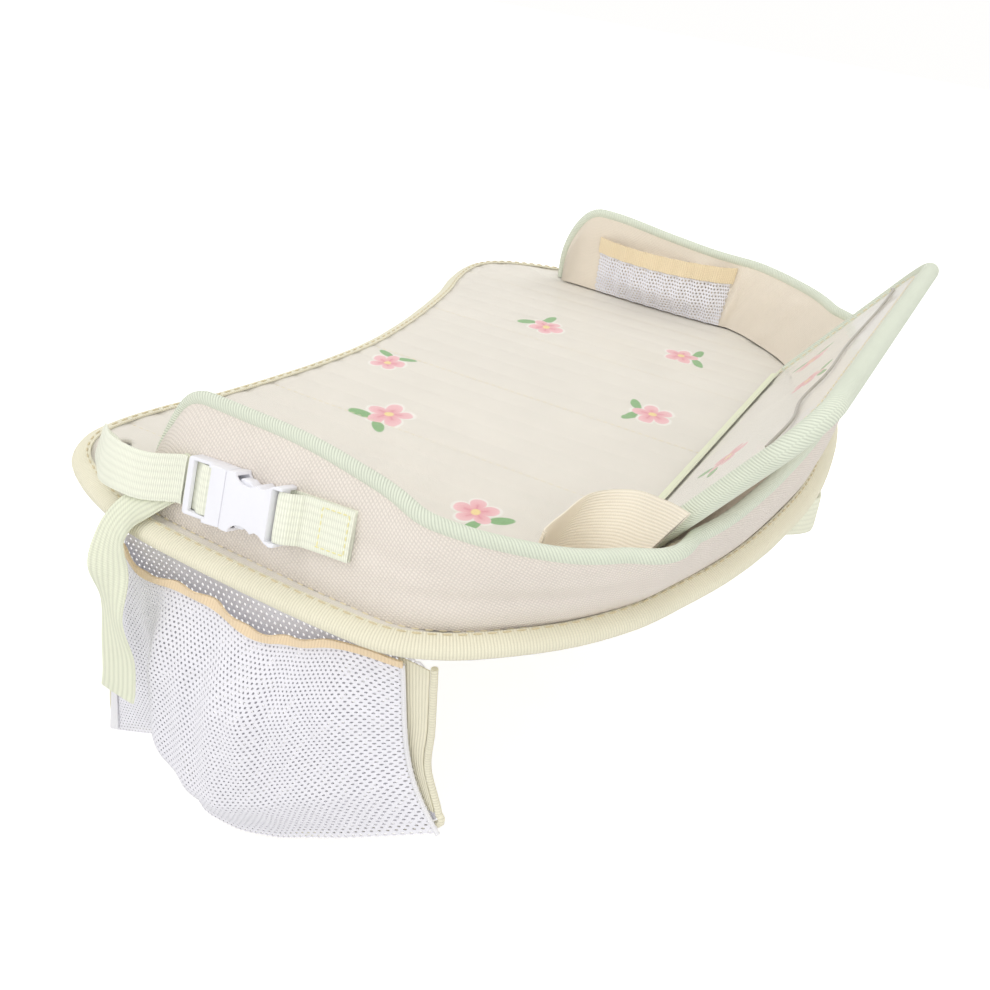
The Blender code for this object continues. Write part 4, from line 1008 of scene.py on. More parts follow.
@dataclass(frozen=True)
class Fabric:
    """A cloth, tape or webbing finish."""

    name: str
    colour: tuple[int, int, int]
    pattern: Pattern = Pattern.WOVEN
    pitch: float = 0.0010
    lean: float = 0.0
    cross_pitch: float = 0.0010
    cross_share: float = 0.25
    # shade: the amount of painted shade that darkens the low places between threads and ribs
    shade: float = 0.10
    bump: float = 0.00022
    roughness: float = 0.82
    sheen: float = 0.10
    lumps: float = 0.030
    tone: float = 0.05
    crumple: float = 0.0006
    prints: tuple[Print, ...] = ()
    turn: float = 0.0

    def material(self) -> bpy.types.Material:
        """Build the finish's material."""
        material, graph, shader = new_material(self.name)
        place = graph.add("ShaderNodeUVMap", uv_map="UVMap").outputs[0]
        solid = graph.add("ShaderNodeTexCoord").outputs["Object"]
        tone = self.use(graph, SHADES.tone, Place=solid, Size=self.lumps, Amount=self.tone * 2,
                        Colour=srgb(*self.colour))
        colour = tone.outputs["Colour"]
        for blossom in self.prints:
            colour = self.use(graph, SHADES.blossom, Place=place, Middle=(*blossom.middle, 0.0),
                              Turn=blossom.turn, Size=blossom.size, Colour=colour).outputs["Colour"]
        lumps = graph.math("MULTIPLY", tone.outputs["Height"], self.crumple)
        height = lumps
        if self.pattern is not Pattern.SMOOTH:
            turned = graph.add("ShaderNodeVectorRotate", {"Vector": place, "Angle": self.turn},
                               rotation_type="Z_AXIS").outputs[0]
            values = {"Place": turned, "Pitch": self.pitch, "Shade": self.shade, "Colour": colour}
            if self.pattern is Pattern.RIBBED:
                values.update({"Lean": self.lean, "Cross Pitch": self.cross_pitch,
                               "Cross Share": self.cross_share})
            group = SHADES.weave if self.pattern is Pattern.WOVEN else SHADES.rib
            threads = self.use(graph, group, **values)
            colour = threads.outputs["Colour"]
            height = graph.math("MULTIPLY_ADD", threads.outputs["Height"], self.bump, lumps)
        bump = graph.add("ShaderNodeBump", {"Height": height, "Strength": 1.0, "Distance": 1.0})
        fuzz = graph.math("MULTIPLY_ADD", tone.outputs["Height"], 0.12, self.roughness - 0.06)
        graph.fill(shader, {"Base Color": colour, "Roughness": fuzz, "Normal": bump.outputs[0],
                            "Sheen Weight": self.sheen, "Sheen Roughness": 0.5,
                            "Specular IOR Level": 0.25})
        return material

    @staticmethod
    def use(graph: Graph, group: bpy.types.NodeTree, **values: Any) -> bpy.types.Node:
        """Place a shared group in a material with its own values, and return its node."""
        spaced = {name.replace("_", " "): value for name, value in values.items()}
        return graph.add("ShaderNodeGroup", spaced, node_tree=group)


@dataclass(frozen=True)
class Plastic:
    """A moulded or cut plastic finish with a faint grain."""

    name: str
    colour: tuple[int, int, int]
    roughness: float = 0.32
    grain: float = 0.0025
    bump: float = 0.00005

    def material(self) -> bpy.types.Material:
        """Build the finish's material."""
        material, graph, shader = new_material(self.name)
        solid = graph.add("ShaderNodeTexCoord").outputs["Object"]
        tone = Fabric.use(graph, SHADES.tone, Place=solid, Size=self.grain, Amount=0.03,
                          Colour=srgb(*self.colour))
        bump = graph.add("ShaderNodeBump", {
            "Height": graph.math("MULTIPLY", tone.outputs["Height"], self.bump), "Strength": 1.0,
            "Distance": 1.0})
        rough = graph.math("MULTIPLY_ADD", tone.outputs["Height"], 0.14, self.roughness - 0.07)
        graph.fill(shader, {"Base Color": tone.outputs["Colour"], "Roughness": rough,
                            "Normal": bump.outputs[0]})
        return material


@dataclass(frozen=True)
class ClearFilm:
    """A clear vinyl film: nearly see-through from above, and pale at a flat angle, where its colour is a
    painted reflection of the white room over the shader's own reflections.
    """

    name: str
    # The pale colour that shows at a flat angle, as a painted reflection of the white room.
    colour: tuple[int, int, int] = (240, 234, 224)
    clearness: float = 0.025
    gloss: float = 0.60
    wave: float = 0.045

    def material(self) -> bpy.types.Material:
        """Build the finish's material."""
        material, graph, shader = new_material(self.name)
        solid = graph.add("ShaderNodeTexCoord").outputs["Object"]
        tone = Fabric.use(graph, SHADES.tone, Place=solid, Size=self.wave, Amount=0.02,
                          Colour=srgb(*self.colour))
        bump = graph.add("ShaderNodeBump", {
            "Height": graph.math("MULTIPLY", tone.outputs["Height"], 0.0016), "Strength": 1.0,
            "Distance": 1.0})
        glance = graph.add("ShaderNodeFresnel", {"IOR": 1.45, "Normal": bump.outputs[0]})
        front = graph.math("SUBTRACT", 1.0, graph.add("ShaderNodeNewGeometry").outputs["Backfacing"])
        # Painted reflection: on front faces the film turns more opaque at a flat angle, so its pale colour
        # stands in for the white room's reflection.
        painted_reflection = graph.math("MULTIPLY", graph.math("MULTIPLY", glance.outputs[0], self.gloss), front)
        alpha = graph.math("ADD", painted_reflection, self.clearness, clamp=True)
        graph.fill(shader, {"Base Color": tone.outputs["Colour"], "Alpha": alpha,
                            "Normal": bump.outputs[0], "Roughness": 0.08, "Specular IOR Level": 1.0})
        return material


OXFORD = Fabric("beige_oxford", (243, 234, 224), pitch=0.0011, shade=0.17, bump=0.00022, turn=0.42)
LINING = Fabric("cream_lining", (250, 239, 222), pitch=0.0008, shade=0.08, crumple=0.0012)
QUILT = Fabric("printed_quilt", (238, 233, 223), pitch=0.0008, shade=0.05, bump=0.00012, prints=(
    Print((0.062, -0.044), 0.4, 0.017), Print((-0.088, -0.040), 2.2, 0.016),
    Print((-0.104, 0.036), 4.4, 0.015), Print((-0.022, 0.052), 1.4, 0.016),
    Print((0.110, 0.030), 5.3, 0.015), Print((0.014, -0.078), 3.1, 0.014)))
FLAP_CLOTH = Fabric("printed_flap_cloth", (245, 242, 234), pitch=0.0008, shade=0.05, bump=0.00012, prints=(
    Print((0.058, 0.036), 0.9, 0.016), Print((-0.060, 0.040), 2.9, 0.016), Print((0.002, 0.058), 4.6, 0.014)))
UNDER_CLOTH = Fabric("under_cloth", (234, 225, 214), pitch=0.0010, shade=0.12)
PIPING = Fabric("mint_piping", (229, 235, 217), Pattern.RIBBED, pitch=0.0012, lean=0.55, cross_share=0.0,
                shade=0.16, bump=0.00025, crumple=0.0)
BINDING = Fabric("cream_binding", (241, 236, 212), Pattern.RIBBED, pitch=0.0011, cross_pitch=0.0009,
                 cross_share=0.15, shade=0.12, bump=0.00025, crumple=0.0003)
TAPE = Fabric("lime_tape", (238, 240, 214), Pattern.RIBBED, pitch=0.0011, cross_share=0.1, shade=0.12)
WEBBING = Fabric("lime_webbing", (250, 252, 234), Pattern.RIBBED, pitch=0.00085, cross_pitch=0.0025,
                 cross_share=0.35, shade=0.17, bump=0.00030, crumple=0.0003, sheen=0.15)
# The hanging tail's webbing: a darker copy of the belt's webbing colour, painted shade, with deeper ribs.
SHADED_TAIL_WEBBING = Fabric("lime_webbing_ribbed_shaded", (240, 243, 220), Pattern.RIBBED, pitch=0.00085,
                      cross_pitch=0.0025, cross_share=0.68, shade=0.20, bump=0.00040, crumple=0.0003)
# The run under the tray: a slightly darker copy of the belt's webbing colour, painted shade.
SHADED_UNDER_WEBBING = Fabric("underside_webbing_shaded", (246, 247, 226), Pattern.RIBBED, pitch=0.00085, cross_pitch=0.0025,
                      cross_share=0.50, shade=0.14, bump=0.00030, crumple=0.0003)
ELASTIC = Fabric("cream_elastic", (247, 238, 220), Pattern.RIBBED, pitch=0.0009, cross_pitch=0.0013,
                 cross_share=0.75, shade=0.14, bump=0.00025)
POCKET_ELASTIC = Fabric("tan_elastic", (245, 226, 190), Pattern.RIBBED, pitch=0.0012, cross_pitch=0.0010,
                        cross_share=0.3, shade=0.12, bump=0.00025)
HEM_ELASTIC = Fabric("tan_hem", (241, 218, 184), Pattern.RIBBED, pitch=0.0013, cross_pitch=0.0010,
                     cross_share=0.1, shade=0.08, bump=0.00015)
NET = Fabric("white_net", (238, 237, 243), Pattern.SMOOTH, roughness=0.6, lumps=0.004, tone=0.05,
             crumple=0.00025, sheen=0.2)
NET_BAND = Fabric("white_tape", (246, 245, 248), Pattern.WOVEN, pitch=0.0009, shade=0.06, bump=0.00015)
FOAM = Fabric("wall_foam", (238, 236, 230), Pattern.SMOOTH, lumps=0.003, tone=0.10, crumple=0.0008)
THREAD = Fabric("cream_thread", (233, 222, 190), Pattern.SMOOTH, lumps=0.002, tone=0.06, crumple=0.0001)
SEAM_THREAD = Fabric("seam_thread", (216, 203, 168), Pattern.SMOOTH, lumps=0.002, tone=0.06, crumple=0.0001)
YELLOW_THREAD = Fabric("yellow_thread", (238, 230, 168), Pattern.SMOOTH, lumps=0.002, tone=0.06,
                       crumple=0.0001)
BUCKLE_WHITE = Plastic("white_acetal", (240, 240, 246))
STIFF_BOARD = Plastic("grey_board", (196, 196, 198), roughness=0.6, grain=0.004, bump=0.0002)
FILM = ClearFilm("clear_film")
# A dark grey for the edge of the window's opening: painted shade, the dark contour along the film's edge.
FILM_EDGE_SHADE = Plastic("film_edge_shade", (176, 170, 160), roughness=0.3)


# Sub-assemblies

@dataclass
class BaseLook:
    """The base: cloth underneath, quilted floor under a clear film, and a ribbed binding round it."""

    repeat: Repeat
    binding_width: float = 0.0072
    binding_height: float = 0.0084
    quilt_top: float = 0.0071
    quilt_low: float = 0.0047
    channel: float = 0.0140
    dip: float = 0.0011
    slot_length: float = 0.0280
    slot_width: float = 0.0065
    slot_place: tuple[float, float] = (0.163, -0.104)
    slot_run: tuple[float, float] = (-0.180, 0.2524)
    ring_points: int = 520
    quilt_columns: int = 228
    quilt_rows: int = 46
    sheet_grid: tuple[int, int] = (150, 50)
    cord_points: int = 1600

    def distances(self) -> list[float]:
        """Return evenly spaced places round the whole outline."""
        return [OUTLINE.total * k / self.ring_points for k in range(self.ring_points)]

    def ring(self, inset: float) -> np.ndarray:
        """Return a loop of points at an inset from the outline."""
        return np.array([OUTLINE.place(distance, inset, 0.0) for distance in self.distances()])

    def slot_tool(self) -> bpy.types.Object:
        """Make the shape of the belt's slot, to be taken out of a layer."""
        x, y = self.slot_place
        run = np.array([*self.slot_run, 0.0]) / np.linalg.norm(self.slot_run)
        side = np.array([run[1], -run[0], 0.0])
        ring = []
        for end in (1, -1):
            for angle in np.linspace(-0.5 * math.pi, 0.5 * math.pi, 9) * end:
                reach = self.slot_length / 2 - self.slot_width / 2 + math.cos(angle) * self.slot_width / 2
                ring.append(side * end * reach + run * math.sin(angle) * self.slot_width / 2)
        rings = [[np.array([x, y, z]) + point for point in ring] for z in (-0.01, 0.03)]
        return skin("slot_tool", np.array(rings), bpy.data.materials.new("slot_tool"))

    def binding(self) -> None:
        """Make the folded tape round the edge and its line of stitches."""
        width, high = self.binding_width, self.binding_height
        section = [(width, 0.0001), (width, 0.0010), (0.0034, 0.0017), (0.0029, high / 2),
                   (0.0034, high - 0.0019), (width, high - 0.0010), (width, high - 0.0002),
                   (0.78 * width, high - 0.0002), (0.55 * width, high - 0.0007),
                   (0.32 * width, high - 0.0013), (0.16 * width, high - 0.0021),
                   (0.04 * width, high - 0.0032), (0.0, high / 2), (0.04 * width, 0.0028),
                   (0.16 * width, 0.0018), (0.32 * width, 0.0010), (0.55 * width, 0.0004)]
        rings = []
        for distance in self.distances():
            wave = 0.00012 * ripple(distance, 0, 0.012, 3.0)
            rings.append([OUTLINE.place(distance, inset + wave * (inset < 0.006), z) for inset, z in section])
        settle(skin("binding_tape", np.array(rings), BINDING.material(), closed=True, sharp=70.0),
               "tray", "rim_binding", "rim_binding")
        line = [OUTLINE.place(distance, width - 0.0013, high + 0.00005) for distance in self.distances()]
        stitches = self.repeat.stitch("binding_stitches", [np.array(line)], SEAM_THREAD.material(),
                                      spacing=0.0050, length=0.0034, radius=0.00034, closed=True)
        settle(stitches, "tray", "rim_binding")

    def floor(self) -> None:
        """Make the quilted floor with its sewn channels."""
        points = spread(self.ring(0.0048), self.quilt_columns, self.quilt_rows, 0.0006)
        for column in points.reshape(-1, 3):
            phase = abs(math.sin(math.pi * column[0] / self.channel))
            soft = 0.00012 * ripple(column[0], column[1], 0.02)
            column[2] = self.quilt_top - self.dip * (1 - phase ** 0.45) + soft
        flat = points[:, :, :2].copy()
        low = points.copy()
        low[:, :, 2] = self.quilt_low
        body = Body()
        face, rear = body.add_points(points), body.add_points(low)
        body.add_quads(face, flat)
        body.add_quads(rear[::-1], flat[::-1])
        last, top = self.quilt_columns, self.quilt_rows
        rim = [(0, j) for j in range(top + 1)] + [(i, top) for i in range(1, last + 1)]
        rim += [(last, j) for j in range(top - 1, -1, -1)] + [(i, 0) for i in range(last - 1, 0, -1)]
        for first, second in zip(rim, rim[1:] + rim[:1]):
            numbers = (face[first], face[second], rear[second], rear[first])
            body.add_face(numbers, (flat[first], flat[second], flat[second], flat[first]))
        quilt = body.make("quilted_floor", QUILT.material())
        clear(quilt, self.slot_tool())
        settle(quilt, "tray", "floor_quilt", "floor_quilt")
        lines = []
        columns = int(0.19 / self.channel)
        for k in range(-columns, columns + 1):
            x = k * self.channel
            column = spread(self.ring(0.0095), self.cord_points, 1, 0.0005)
            nearest = int(np.argmin(abs(column[:, 0, 0] - x)))
            low_y, high_y = column[nearest, 0, 1], column[nearest, 1, 1]
            lines.append(np.array([(x, y, self.quilt_top - self.dip + 0.00012)
                                   for y in np.linspace(low_y, high_y, 30)]))
        settle(self.repeat.stitch("quilting_stitches", lines, THREAD.material(), spacing=0.0036,
                                  length=0.0026, radius=0.00022), "tray", "floor_quilt")

    def film(self) -> None:
        """Make the clear film over the floor."""
        ring = np.array([OUTLINE.place(distance, OUTLINE.film_inset(distance), 0)
                         for distance in self.distances()])
        points = spread(ring, *self.sheet_grid, 0.0008)
        points[:, :, 2] = 0.0078
        film = cloth("clear_floor_film", points, 0.0004, FILM.material(), points[:, :, :2].copy())
        clear(film, self.slot_tool())
        settle(film, "tray", "floor_film", "floor_film")

    def underside(self) -> None:
        """Make the cloth under the base."""
        points = spread(self.ring(0.0060), *self.sheet_grid, 0.0008)
        for point in points.reshape(-1, 3):
            point[2] = 0.0002 + 0.00012 * ripple(point[0], point[1], 0.03, 7.0)
        panel = cloth("underside_cloth", points, -0.0007, UNDER_CLOTH.material(), points[:, :, :2].copy())
        clear(panel, self.slot_tool())
        settle(panel, "tray", "underside_panel", "underside_panel")

    def build(self) -> None:
        """Make the whole base."""
        self.binding()
        self.floor()
        self.film()
        self.underside()


@dataclass
class WallLook:
    """The soft wall: oxford cloth outside, lining inside, foam between them and a corded top edge."""

    repeat: Repeat
    levels: int = 18
    tuck: float = 0.0042
    crumple: float = 0.0007

    def crease(self, distance: float, z: float) -> float:
        """Return how deep the cloth dips at a place, in the soft creases of the near back corner."""
        depth = 0.0
        if distance > 0:
            for middle, height, slope, size in ((0.180, 0.021, -0.03, 0.0016), (0.120, 0.028, 0.05, 0.0010),
                                                (0.250, 0.030, 0.06, 0.0008)):
                line = height + slope * (distance - middle)
                depth += size * math.exp(-((z - line) / 0.0032) ** 2) * hump(distance, middle, 0.085)
        return depth

    def face(self, inset_at: Callable[[float, float, float], float], low: float,
             relief: Callable[[float, float], float], tuck_in: float) -> np.ndarray:
        """Make the grid of one face of the wall.

        Args:
            inset_at: The inset by distance, top height and share of the height.
            low: The height of the face's foot.
            relief: How far a point moves inwards, by distance and height.
            tuck_in: How far the top edge bends under the cord.

        Returns:
            The grid, with the stations as its rows.
        """
        rows = []
        for distance, top_z in OUTLINE.wall_line(self.tuck):
            row = []
            for level in range(self.levels + 1):
                rise = level / self.levels
                z = low + rise * (top_z - low)
                inset = inset_at(distance, top_z, max((z - OUTLINE.floor_z) / (top_z - OUTLINE.floor_z), 0.0))
                soft = relief(distance, z) * fade(4 * rise) * fade(5 - 5 * rise)
                inset += tuck_in * fade((rise - 0.86) / 0.14) + soft
                row.append(OUTLINE.place(distance, inset, z))
            rows.append(row)
        return np.array(rows)

    def outer_relief(self, distance: float, z: float) -> float:
        """Return how far the outer cloth moves in at a place."""
        soft = ripple(distance, z, 0.045, 1.0) + 0.5 * ripple(distance, 2 * z, 0.022, 2.0)
        return self.crumple * soft + self.crease(distance, z)

    def inner_relief(self, distance: float, z: float) -> float:
        """Return how far the lining moves in at a place, with upright folds at the far corner."""
        soft = 0.0008 * ripple(distance, 2 * z, 0.030, 5.0)
        folds = 0.0
        for middle, size in ((-0.262, 0.0024), (-0.245, -0.0012), (-0.225, 0.0020), (-0.200, 0.0014),
                             (-0.178, 0.0018), (-0.352, 0.0012), (-0.372, 0.0010)):
            lean = middle + 0.25 * (z - 0.03)
            folds += size * math.exp(-((distance - lean) / 0.0055) ** 2)
        return soft + folds

    def build(self) -> None:
        """Make the wall's cloths, foam and cord."""
        line = OUTLINE.wall_line(OUTLINE.piping_radius)
        outer = self.face(OUTLINE.outer, OUTLINE.floor_z - 0.0001, self.outer_relief, 0.0014)
        skin_cloth = cloth("outer_cloth", outer, -0.0008, OXFORD.material())
        settle(skin_cloth, "tray", "wall_outer_panel", "wall_outer_panel")
        inner = self.face(OUTLINE.inner, OUTLINE.film_top + 0.0001, self.inner_relief, -0.0014)
        lining = cloth("lining_cloth", inner, 0.0007, LINING.material())
        settle(lining, "tray", "wall_lining", "wall_lining")
        self.foam()
        foot = OUTLINE.floor_z + 0.0004
        line = np.vstack([[(line[0, 0], foot)], line, [(line[-1, 0], foot)]])
        path = np.array([OUTLINE.place(d, OUTLINE.top(d, z), z) for d, z in line])
        piping = round_tube("top_piping", path, OUTLINE.piping_radius, PIPING.material(), sides=16)
        settle(piping, "tray", "wall_piping", "wall_piping")
        self.stitches()

    def foam(self) -> None:
        """Make the foam between the wall's cloths."""
        rings = []
        for distance, top_z in OUTLINE.wall_line(0.0068, steps=70, end_steps=8):
            outer, inner = [], []
            for rise in np.linspace(0.02, 0.97, 9):
                z = OUTLINE.floor_z + rise * (top_z - OUTLINE.floor_z)
                start = OUTLINE.outer(distance, top_z, rise) + 0.0032
                end = OUTLINE.inner(distance, top_z, rise) - 0.0013
                squeeze = 0.12 * (end - start) * (abs(2 * rise - 1) ** 6)
                outer.append(OUTLINE.place(distance, start + squeeze, z))
                inner.append(OUTLINE.place(distance, max(end - squeeze, start + squeeze + 0.0004), z))
            rings.append(outer + inner[::-1])
        foam = skin("wall_foam", np.array(rings), FOAM.material())
        settle(foam, "tray", "wall_padding", "wall_padding")

    def stitches(self) -> None:
        """Make the stitches below the cord and along the wall's foot."""
        under = []
        for distance, top_z in OUTLINE.wall_line(0.0075, steps=90, end_steps=8):
            rise = (top_z - OUTLINE.floor_z) / max(top_z + 0.0030 - OUTLINE.floor_z, 0.001)
            inset = OUTLINE.outer(distance, top_z + 0.0030, rise) - 0.0001
            under.append(OUTLINE.place(distance, inset + self.outer_relief(distance, top_z) * 0.3, top_z))
        line = np.array([point for point in under if point[2] > 0.0165])
        settle(self.repeat.stitch("cord_stitches", [line], THREAD.material(), spacing=0.0038),
               "tray", "wall_outer_panel")
        reach = OUTLINE.wall_reach
        foot = [OUTLINE.place(d, OUTLINE.foot(d) - 0.0009, 0.0072) for d in np.linspace(-reach, reach, 300)]
        settle(self.repeat.stitch("foot_stitches", [np.array(foot)], THREAD.material(), spacing=0.0045),
               "tray", "wall_outer_panel")


@dataclass
class PocketLook:
    """The net pocket inside the far wall with its elastic top."""

    repeat: Repeat
    start: float = 0.655
    end: float = 0.905
    bulge: float = 0.0092
    top: float = 0.0420
    band: float = 0.0090
    folds: int = 9

    def surface(self, along: float, z: float, gather: float) -> np.ndarray:
        """Find a point of the pocket.

        Args:
            along: The share of the pocket's width.
            z: The height.
            gather: How deep the folds are.

        Returns:
            The point.
        """
        distance = -OUTLINE.wall_reach * (self.start + (self.end - self.start) * along)
        top_z = OUTLINE.wall_top(distance) - 0.0068
        rise = (z - OUTLINE.floor_z) / (top_z - OUTLINE.floor_z)
        loose = self.bulge * math.sin(math.pi * min(max(along, 0.0), 1.0)) ** 0.7
        loose *= fade((z - OUTLINE.floor_z) / (self.top / 2 - OUTLINE.floor_z))
        ends = min(1.0, 8 * along, 8 - 8 * along)
        wave = gather * math.sin(2 * math.pi * self.folds * along + 30 * z) * ends
        inset = OUTLINE.inner(distance, top_z, rise) + 0.0014 + max(loose + wave, 0.0)
        return OUTLINE.place(distance, inset, z)

    def build(self) -> None:
        """Make the net and its elastic."""
        low, high = OUTLINE.film_top + 0.0003, self.top - self.band + 0.0015
        width = OUTLINE.wall_reach * (self.end - self.start)

        def net_at(along: float, down: float) -> np.ndarray:
            """Return a point of the net by its shares."""
            return self.surface(along, low + (high - low) * down, 0.0010)

        net = self.repeat.netting("pocket_net", net_at, width * 1.15, high - low, pitch=0.0022,
                                  opening=0.48, thickness=0.0003, material=NET.material())
        settle(net, "tray", "inner_pocket_mesh", "inner_pocket_mesh")
        rows = []
        for along in np.linspace(0, 1, 90):
            rows.append([self.surface(along, z, 0.0004) for z in np.linspace(high - 0.0015, self.top, 9)])
        band = cloth("pocket_band", np.array(rows), 0.0011, POCKET_ELASTIC.material())
        settle(band, "tray", "inner_pocket_elastic", "inner_pocket_elastic")
        lines = [np.array([self.surface(along, high + 0.0006 + lift, 0.0004)
                           for along in np.linspace(0.01, 0.99, 80)]) for lift in (0.0, 0.0052)]
        inward = np.array([0.0003, 0.0, 0.0])
        settle(self.repeat.stitch("pocket_stitches", [line + inward for line in lines], THREAD.material(),
                                  spacing=0.0030, length=0.0021), "tray", "inner_pocket_elastic")


@dataclass
class FlapLook:
    """The tablet flap: printed cloth under a clear window, a stiff board, oxford cloth and a corded edge."""

    repeat: Repeat
    half_width: float = 0.1176
    length: float = 0.1037
    corner: float = 0.0240
    edge_radius: float = 0.0040
    edge_depth: float = 0.0024
    hinge: tuple[float, float, float] = (0.0, 0.0887, 0.0098)
    lean: float = math.radians(37.2)
    foot: float = 0.0020

    def place(self, x: float, up: float, out: float) -> np.ndarray:
        """Return the point at a place on the flap and a distance out of its face."""
        y = self.hinge[1] + up * math.sin(self.lean) - out * math.cos(self.lean)
        return np.array([x, y, self.hinge[2] + up * math.cos(self.lean) + out * math.sin(self.lean)])

    def half_at(self, up: float, inset: float) -> float:
        """Return half the flap's width at a height, with its upper corners rounded."""
        side, top, radius = self.half_width - inset, self.length - inset, self.corner - inset
        over = up - (top - radius)
        if over <= 0:
            return side
        return side - radius + math.sqrt(max(radius * radius - over * over, 0.0))

    def panel(self, name: str, inset: float, out: float, thickness: float, swell: float,
              material: bpy.types.Material, node: str) -> bpy.types.Object:
        """Make one cloth or film of the flap.

        Args:
            name: The piece's name.
            inset: Its inset from the flap's outline.
            out: Where its face lies, out of the flap's plane.
            thickness: How far its back lies from its face.
            swell: How far its middle stands proud.
            material: Its finish.
            node: The CAD node that it stands for.

        Returns:
            The panel.
        """
        rows, columns = 60, 70
        grid, flat = np.zeros((rows + 1, columns + 1, 3)), np.zeros((rows + 1, columns + 1, 2))
        top = self.length - inset - 0.0004
        for i in range(rows + 1):
            share = 1 - (1 - i / rows) ** 1.5
            up = self.foot + (top - self.foot) * share
            half = self.half_at(up, inset)
            for j in range(columns + 1):
                x = half * (2 * j / columns - 1)
                crown = (1 - (2 * j / columns - 1) ** 4) * (1 - (2 * share - 1) ** 4)
                soft = 0.0003 * ripple(x, up, 0.03, out * 1000)
                grid[i, j] = self.place(x, up, out + (swell + soft * (1 if swell > 0 else -1)) * crown)
                flat[i, j] = (x, up)
        piece = cloth(name, grid, thickness, material, flat)
        settle(piece, "flap", node, node)
        return piece

    def build(self) -> None:
        """Make the flap."""
        self.panel("flap_window", 0.0078, 0.0001, -0.0004, 0.0006, FILM.material(), "flap_film")
        self.panel("flap_front_cloth", 0.0066, -0.0006, -0.0008, 0.0002, FLAP_CLOTH.material(),
                   "flap_front_panel")
        self.panel("flap_back_cloth", 0.0066, -0.0049, 0.0008, -0.0006, OXFORD.material(), "flap_back_panel")
        self.edge()
        self.window_edge()
        self.hinge_tape()

    def edge(self) -> None:
        """Make the corded edge."""
        side, top, radius = (self.half_width - self.edge_radius, self.length - self.edge_radius,
                             self.corner - self.edge_radius)
        path = [(side, up) for up in np.linspace(0.0040, top - radius, 40, endpoint=False)]
        path += [(side - radius + radius * math.cos(a), top - radius + radius * math.sin(a))
                 for a in np.linspace(0, 0.5 * math.pi, 18)]
        path += [(x, top) for x in np.linspace(side - radius, 0, 50)[1:-1]]
        path += [(-x, up) for x, up in reversed(path)]
        points = [self.place(x, up, -self.edge_depth) for x, up in path]
        dense = through_points(points, 2)
        settle(round_tube("flap_cord", dense, self.edge_radius, PIPING.material(), sides=18), "flap",
               "flap_edge_piping", "flap_edge_piping")
        line = [self.place(0.94 * x, up - 0.0068 * fade((up - 0.06) / 0.05), 0.0004) for x, up in path]
        settle(self.repeat.stitch("flap_stitches", [np.array(line)], THREAD.material(), spacing=0.0040),
               "flap", "flap_front_panel")

    def window_edge(self) -> None:
        """Make the thin dark edge of the window's opening, which sags a little across the flap; its dark grey
        is painted shade along the film's edge.
        """
        rows = through_points(((-0.1075, 0.0770), (-0.095, 0.0805), (-0.057, 0.0814), (-0.012, 0.0768),
                               (0.031, 0.0790), (0.055, 0.0735), (0.088, 0.0805), (0.1075, 0.0760)), 8)
        path = np.array([self.place(x, up, 0.0009) for x, up in rows])
        settle(round_tube("window_edge", path, 0.0006, FILM_EDGE_SHADE.material(), sides=8), "flap", "flap_film")

    def hinge_tape(self) -> None:
        """Make the ribbed tape that joins the flap's foot to the floor."""
        side = self.half_width - 0.0045
        z, y = OUTLINE.film_top + 0.0004, self.hinge[1]
        section = [(y - 0.0036, z), (y - 0.0026, z + 0.0001), (y - 0.0016, z + 0.0004),
                   (y - 0.0007, z + 0.0012)]
        section += [tuple(self.place(0, up, 0.0007)[1:]) for up in (0.0018, 0.0028, 0.0038)]
        curve = through_points(section, 3)
        rows = [[np.array([x, *point]) for point in curve] for x in np.linspace(-side, side, 80)]
        tape = cloth("hinge_tape", np.array(rows), -0.0005, TAPE.material())
        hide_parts("flap_hinge_tape")
        tuple(self.place(0, 0.0022, 0.0009))
        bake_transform(tape)
        LOG.info("%s across tray and flap", tape.name)


@dataclass
class StrapLook:
    """The slack elastic between the near wall and the flap's edge."""

    repeat: Repeat
    width: float = 0.0250
    thickness: float = 0.0010

    ROUTE = (
        (0.1470, 0.0738, 0.0208, -0.15, 0.15, 0.98), (0.1460, 0.0728, 0.0216, -0.15, 0.15, 0.98),
        (0.1368, 0.0717, 0.0230, -0.30, 0.30, 0.90), (0.1230, 0.0763, 0.0263, -0.55, 0.20, 0.80),
        (0.1150, 0.0899, 0.0285, -0.66, 0.05, 0.74), (0.1184, 0.1016, 0.0312, -0.46, 0.25, 0.84),
        (0.1240, 0.1109, 0.0348, -0.16, 0.50, 0.85))

    def build(self) -> None:
        """Make the elastic."""
        route = through_points(self.ROUTE, 12)
        piece = strap("flap_elastic", route, self.width, self.thickness, ELASTIC.material(), columns=20)
        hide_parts("flap_strap")
        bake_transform(piece)
        LOG.info("%s across tray and flap", piece.name)


